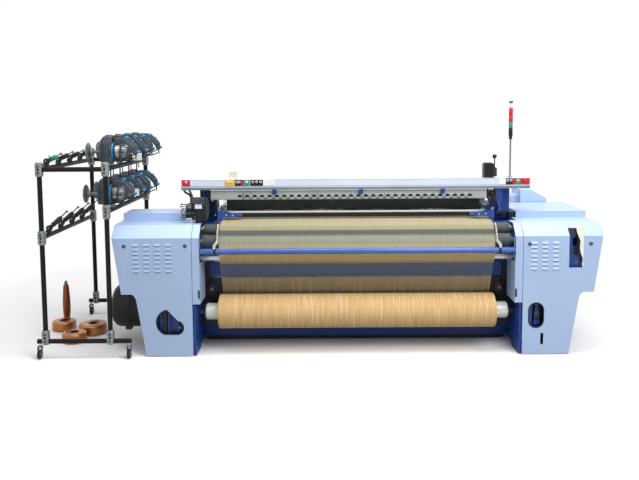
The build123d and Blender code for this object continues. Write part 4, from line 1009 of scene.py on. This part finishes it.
def arc(first, middle, last, count):
    """Points on the circle through three points, without the last."""
    (ax, ay), (bx, by), (cx, cy) = first, middle, last
    d = 2 * (ax * (by - cy) + bx * (cy - ay) + cx * (ay - by))
    aa, bb, cc = ax * ax + ay * ay, bx * bx + by * by, cx * cx + cy * cy
    ux = (aa * (by - cy) + bb * (cy - ay) + cc * (ay - by)) / d
    uy = (aa * (cx - bx) + bb * (ax - cx) + cc * (bx - ax)) / d
    start, mid, end = (atan2(y - uy, x - ux) for x, y in (first, middle, last))
    turn = (end - start) % (2 * pi)
    if (mid - start) % (2 * pi) > turn:
        turn -= 2 * pi
    r = hypot(ax - ux, ay - uy)
    angles = [start + turn * k / count for k in range(count)]
    return [(ux + r * cos(t), uy + r * sin(t)) for t in angles]


teardrop = arc((-1800, 452), (-1899, 345), (-1821, 217), 20) + [(-1821, 217)]
teardrop += arc((-1720, 217), (-1645, 262), (-1700, 345), 14) + [(-1700, 345)]
half_circle = [(72 * cos(pi * k / 12), 72 * sin(pi * k / 12)) for k in range(13)]
oval = [(1685 + u, 430 + v) for u, v in half_circle] + [(1685 - u, 334 - v) for u, v in half_circle]
for hole in (teardrop, oval):
    trim.use(rubber).tube([(x, 0.5, z) for x, z in hole + hole[:2]], 4.5, 8)
trim.done("left_front_cover", replaced=False)

# What shows through the openings of the covers
inner = Piece("inner_castings")
inner.use(blue).prism("y", [(-1652, 120), (-1960, 150), (-1960, 470), (-1900, 560), (-1652, 600)], 70, 78)
for x in (-1948, -1874, -1800, -1716):
    inner.prism("y", rounded(x, x + 22, 150, 540, 3), 46, 72)
inner.use(black).prism("y", rounded(-1846, -1806, 130, 520, 8), 34, 60)
inner.prism("y", rounded(-1912, -1652, 128, 226, 10), 40, 60)
inner.use(cast).lathe("y", (-1690, 270), [(40, 11), (70, 11)], 20)
inner.use(black).prism("y", [(1652, 80), (1900, 80), (1900, 470), (1840, 560), (1652, 600)], 80, 88)
for k in range(5):
    inner.use(dark_grey if k % 2 else blue).lathe("y", (1706, 300 + 42 * k), crown(46, 82, 34 - 3 * k, 5), 24)
inner.use(blue).prism("y", rounded(1660, 1740, 96, 280, 8), 60, 80)
# Painted light: a pale panel for the lit inside of the cover's end wall, beside the opening
lit_wall_outline = [(2045.5, 1216), (2052, 1180), (2062, 1150), (2089, 1089), (2085, 1027), (2094, 974), (2115, 921)]
lit_wall_outline += [(2108, 870), (2116, 826), (2136, 826), (2136, 1216)]
inner.use(lit_wall_paint).prism("y", lit_wall_outline, 3.2, 7)
inner.use(blue).prism("y", [(1972, 800), (2100, 800), (2104, 880), (2080, 930), (1972, 1000)], 40, 46)
inner.use(cast).lathe("y", (2064, 880), [(34, 9), (42, 9)], 16)
inner.use(blue).prism("y", rounded(1972, 2036, 990, 1120, 8), 60, 66)
inner.done("left_front_cover", replaced=False, bevel=0.8)

# Gear cases inside the side frames, dark behind the cloth's edges, and a black strip along the foot of the
# sill, painted shade under it
cases = Piece("gear_cases").use(black)
# Painted shade: a black strip along the foot of the sill
cases.prism("x", rounded(500, 508, 10, 40, 2), -1500, 1500)
outline = [(1530, 196), (1150, 196), (1135, 230), (1125, 430), (1135, 610), (1165, 668), (1530, 676)]
hook = [(384, 600), (384, 676), (352, 700), (346, 900), (318, 900), (316, 690), (350, 600)]
screws = [(1161, 240), (1149, 420), (1159, 596), (1500, 220), (1500, 650)]
for side in (-1, 1):
    cases.about(side=side).use(black).prism("y", outline, 380, 396)
    cases.prism("x", hook, 1445, 1475)
    for x, z, r in ((1430, 560, 62), (1310, 480, 40), (1400, 330, 74), (1262, 620, 26)):
        cases.use(dark_grey).lathe("y", (x, z), crown(364, 381, r, 4), 40)
        cases.use(cast).lathe("y", (x, z), crown(354, 365, r * 0.3, 2), 24)
    cases.lathes("y", screws, [(381, 8), (375, 7)], 6)
cases.done("cross_beams", replaced=False, bevel=1.5)

# Slotted panel: half-oval holes near its lower edge
panel = Piece("pierced_panel").use(panel_grey)
left, right, low, high, depth = -1422, 1288, 1455, 1520, (370, 378)
pitch, first, count = 72.9, -1137, 32
for k in range(count):
    x = first + pitch * k
    pierced(panel, (x - pitch / 2, x + pitch / 2), (low, high), depth, turned_hole(x, 1477, 24, 23, 3))
panel.box((left, first - pitch / 2), depth, (low, high))
panel.box((first + pitch * (count - 1) + pitch / 2, right), depth, (low, high))
panel.box((left, right), depth, (high, 1547))
# A black sheet just behind the holes: painted shade, so they read dark
panel.use(black).box((-1170, 1160), (376, 377.5), (1464, 1508))
panel.use(cast).prism("x", rounded(357, 371, 1452, 1457, 2), left, right)
panel.use(panel_grey).prism("x", rounded(356, 378, 1538, 1548, 2), left, right)
panel.done("slotted_panel", sharp=30, weld=True)

# Beam: a dark lower edge that is painted shade, a thin dark line at its top, hangers of the slotted panel,
# bracket at the selector, links at the right
links = Piece("beam_brackets")
# Painted shade: a dark band along the beam's lower edge
links.use(beam_shade_and_line).box((-1711.5, 1711.5), (363, 364.5), (1549, 1572))
links.box((-1711.5, 1711.5), (359.4, 360.2), (1647, 1650))
for x in (-795, 52, 855):
    links.use(blue).prism("y", rounded(x - 22, x + 22, 1508, 1548, 3, 2), 350, 370)
    links.use(dark_grey).lathe("y", (x, 1527), [(351, 6), (346, 6)], 6)
links.use(black)
links.tube([(-1690, 390, 1552), (-1668, 350, 1530), (-1616, 290, 1514), (-1590, 250, 1490)], 11)
links.tube([(-1640, 400, 1552), (-1600, 330, 1500), (-1590, 300, 1440), (-1590, 300, 1260)], 10)
links.prism("y", rounded(-1530, -1500, 1330, 1548, 5), 388, 404)
links.prism("y", rounded(-1462, -1424, 1400, 1548, 5), 394, 410)
for k in range(8):
    x, z = -1690 + 9 * (k % 3), 1276 + 21 * k
    links.use(black if k % 3 else cast).box((x, -1548), (214, 220), (z, z + 8))
    links.lathe("y", (x + 2, z + 4), [(211, 8), (223, 8)], 16)
links.use(dark_grey).prism("y", rounded(-1640, -1560, 1300, 1420, 10), 222, 262)
links.use(cast).prism("y", rounded(-1620, -1584, 1390, 1440, 8), 196, 224)
links.use(black)
links.prism("y", rounded(1296, 1350, 1330, 1380, 6), 376, 420)
links.tube([(1210, 392, 1400), (1262, 388, 1372), (1320, 384, 1352)], 11)
links.tube([(1300, 400, 1548), (1300, 396, 1470), (1330, 392, 1400), (1372, 390, 1372)], 10)
links.prism("y", rounded(1340, 1376, 1370, 1500, 6), 396, 420)
links.prism("x", rounded(352, 400, 1296, 1330, 5), 1400, 1476)
links.use(cast).lathe("z", (1250, 420), crown(1392, 1500, 30, 5))
links.lathe("z", (1250, 420), crown(1498, 1546, 20, 3), 24)
gusset = [(1372, 1548), (1452, 1548), (1452, 1420), (1430, 1380), (1400, 1396), (1392, 1470)]
links.use(temple_paint).prism("y", gusset, 400, 470)
links.tube([(1404, 380, 1400), (1420, 372, 1352), (1400, 366, 1300)], 13)
links.done("top_beam", replaced=False, bevel=0.8)

# Camera, fitted to the photo
scene = bpy.context.scene
scene.view_settings.view_transform = "Standard"
camera = bpy.data.objects.new("camera", bpy.data.cameras.new("camera"))
scene.collection.objects.link(camera)
scene.camera = camera
camera.data.lens = 39.45
camera.data.sensor_width = 36
camera.data.shift_x = -0.0074
camera.data.shift_y = -0.1017
tilt = Matrix.Rotation(radians(90 - 4.99), 4, "X") @ Matrix.Rotation(radians(-0.35), 4, "Z")
camera.matrix_world = Matrix.Translation((0.1575, -7.3595, 2.287)) @ tilt

# Light


def lamp(name, at, towards, size, power):
    data = bpy.data.lights.new(name, "AREA")
    data.shape = "RECTANGLE"
    data.size, data.size_y = size
    data.energy = power
    made = bpy.data.objects.new(name, data)
    scene.collection.objects.link(made)
    way = Vector(towards) - Vector(at)
    made.matrix_world = Matrix.Translation(at) @ way.to_track_quat("-Z", "Y").to_matrix().to_4x4()


lamp("key", (3.6, -5.0, 5.5), (0.6, 0, 1), (4, 3), 300)
lamp("fill", (-4.5, -6.0, 3.5), (0, 0, 1), (4, 3), 25)
lamp("top", (0.6, -1.4, 6.0), (0.3, 0, 0), (7, 2.5), 310)

# World: white to the camera, in metal and through glass, and half as bright on the object
backdrop_rays = ("Is Camera Ray", "Is Glossy Ray", "Is Transmission Ray")
world = bpy.data.worlds.new("studio")
scene.world = world
world.use_nodes = True
sky = Shading(world.node_tree)
back = sky.tree.nodes["Background"].inputs
sky.feed(back["Color"], (1, 1, 1, 1))
sky.feed(back["Strength"], sky.span(sky.rays(*backdrop_rays), 0.5, 1.0, 0, 1))

# Floor: pale to the camera and in metal, fading to plain white from 2.6 m out to 5 m
ground = Finish("pale_floor")
tone = ground.ramp(ground.rays("Is Camera Ray", "Is Glossy Ray"), [(0.0, grey(0.3)), (1.0, grey(0.95))])
ground.shade({"Base Color": tone, "Roughness": 0.9})
distance = ground.node("VectorMath", {0: ground.place}, operation="LENGTH")["Value"]
fade = ground.span(distance, 0, 1, 2.6, 5.0)
shown = ground.node("Math", {0: fade, 1: ground.rays(*backdrop_rays)}, operation="MULTIPLY")[0]
glow = ground.node("Emission", {})["Emission"]
blend = ground.node("MixShader", {"Fac": shown, 1: ground.shader.outputs["BSDF"], 2: glow})["Shader"]
ground.feed(ground.tree.nodes["Material Output"].inputs["Surface"], blend)
floor_mesh = bpy.data.meshes.new("floor")
floor_mesh.from_pydata([(-40, -40, 0), (40, -40, 0), (40, 40, 0), (-40, 40, 0)], [], [(0, 1, 2, 3)])
floor_mesh.materials.append(ground.material)
floor = bpy.data.objects.new("floor", floor_mesh)
scene.collection.objects.link(floor)
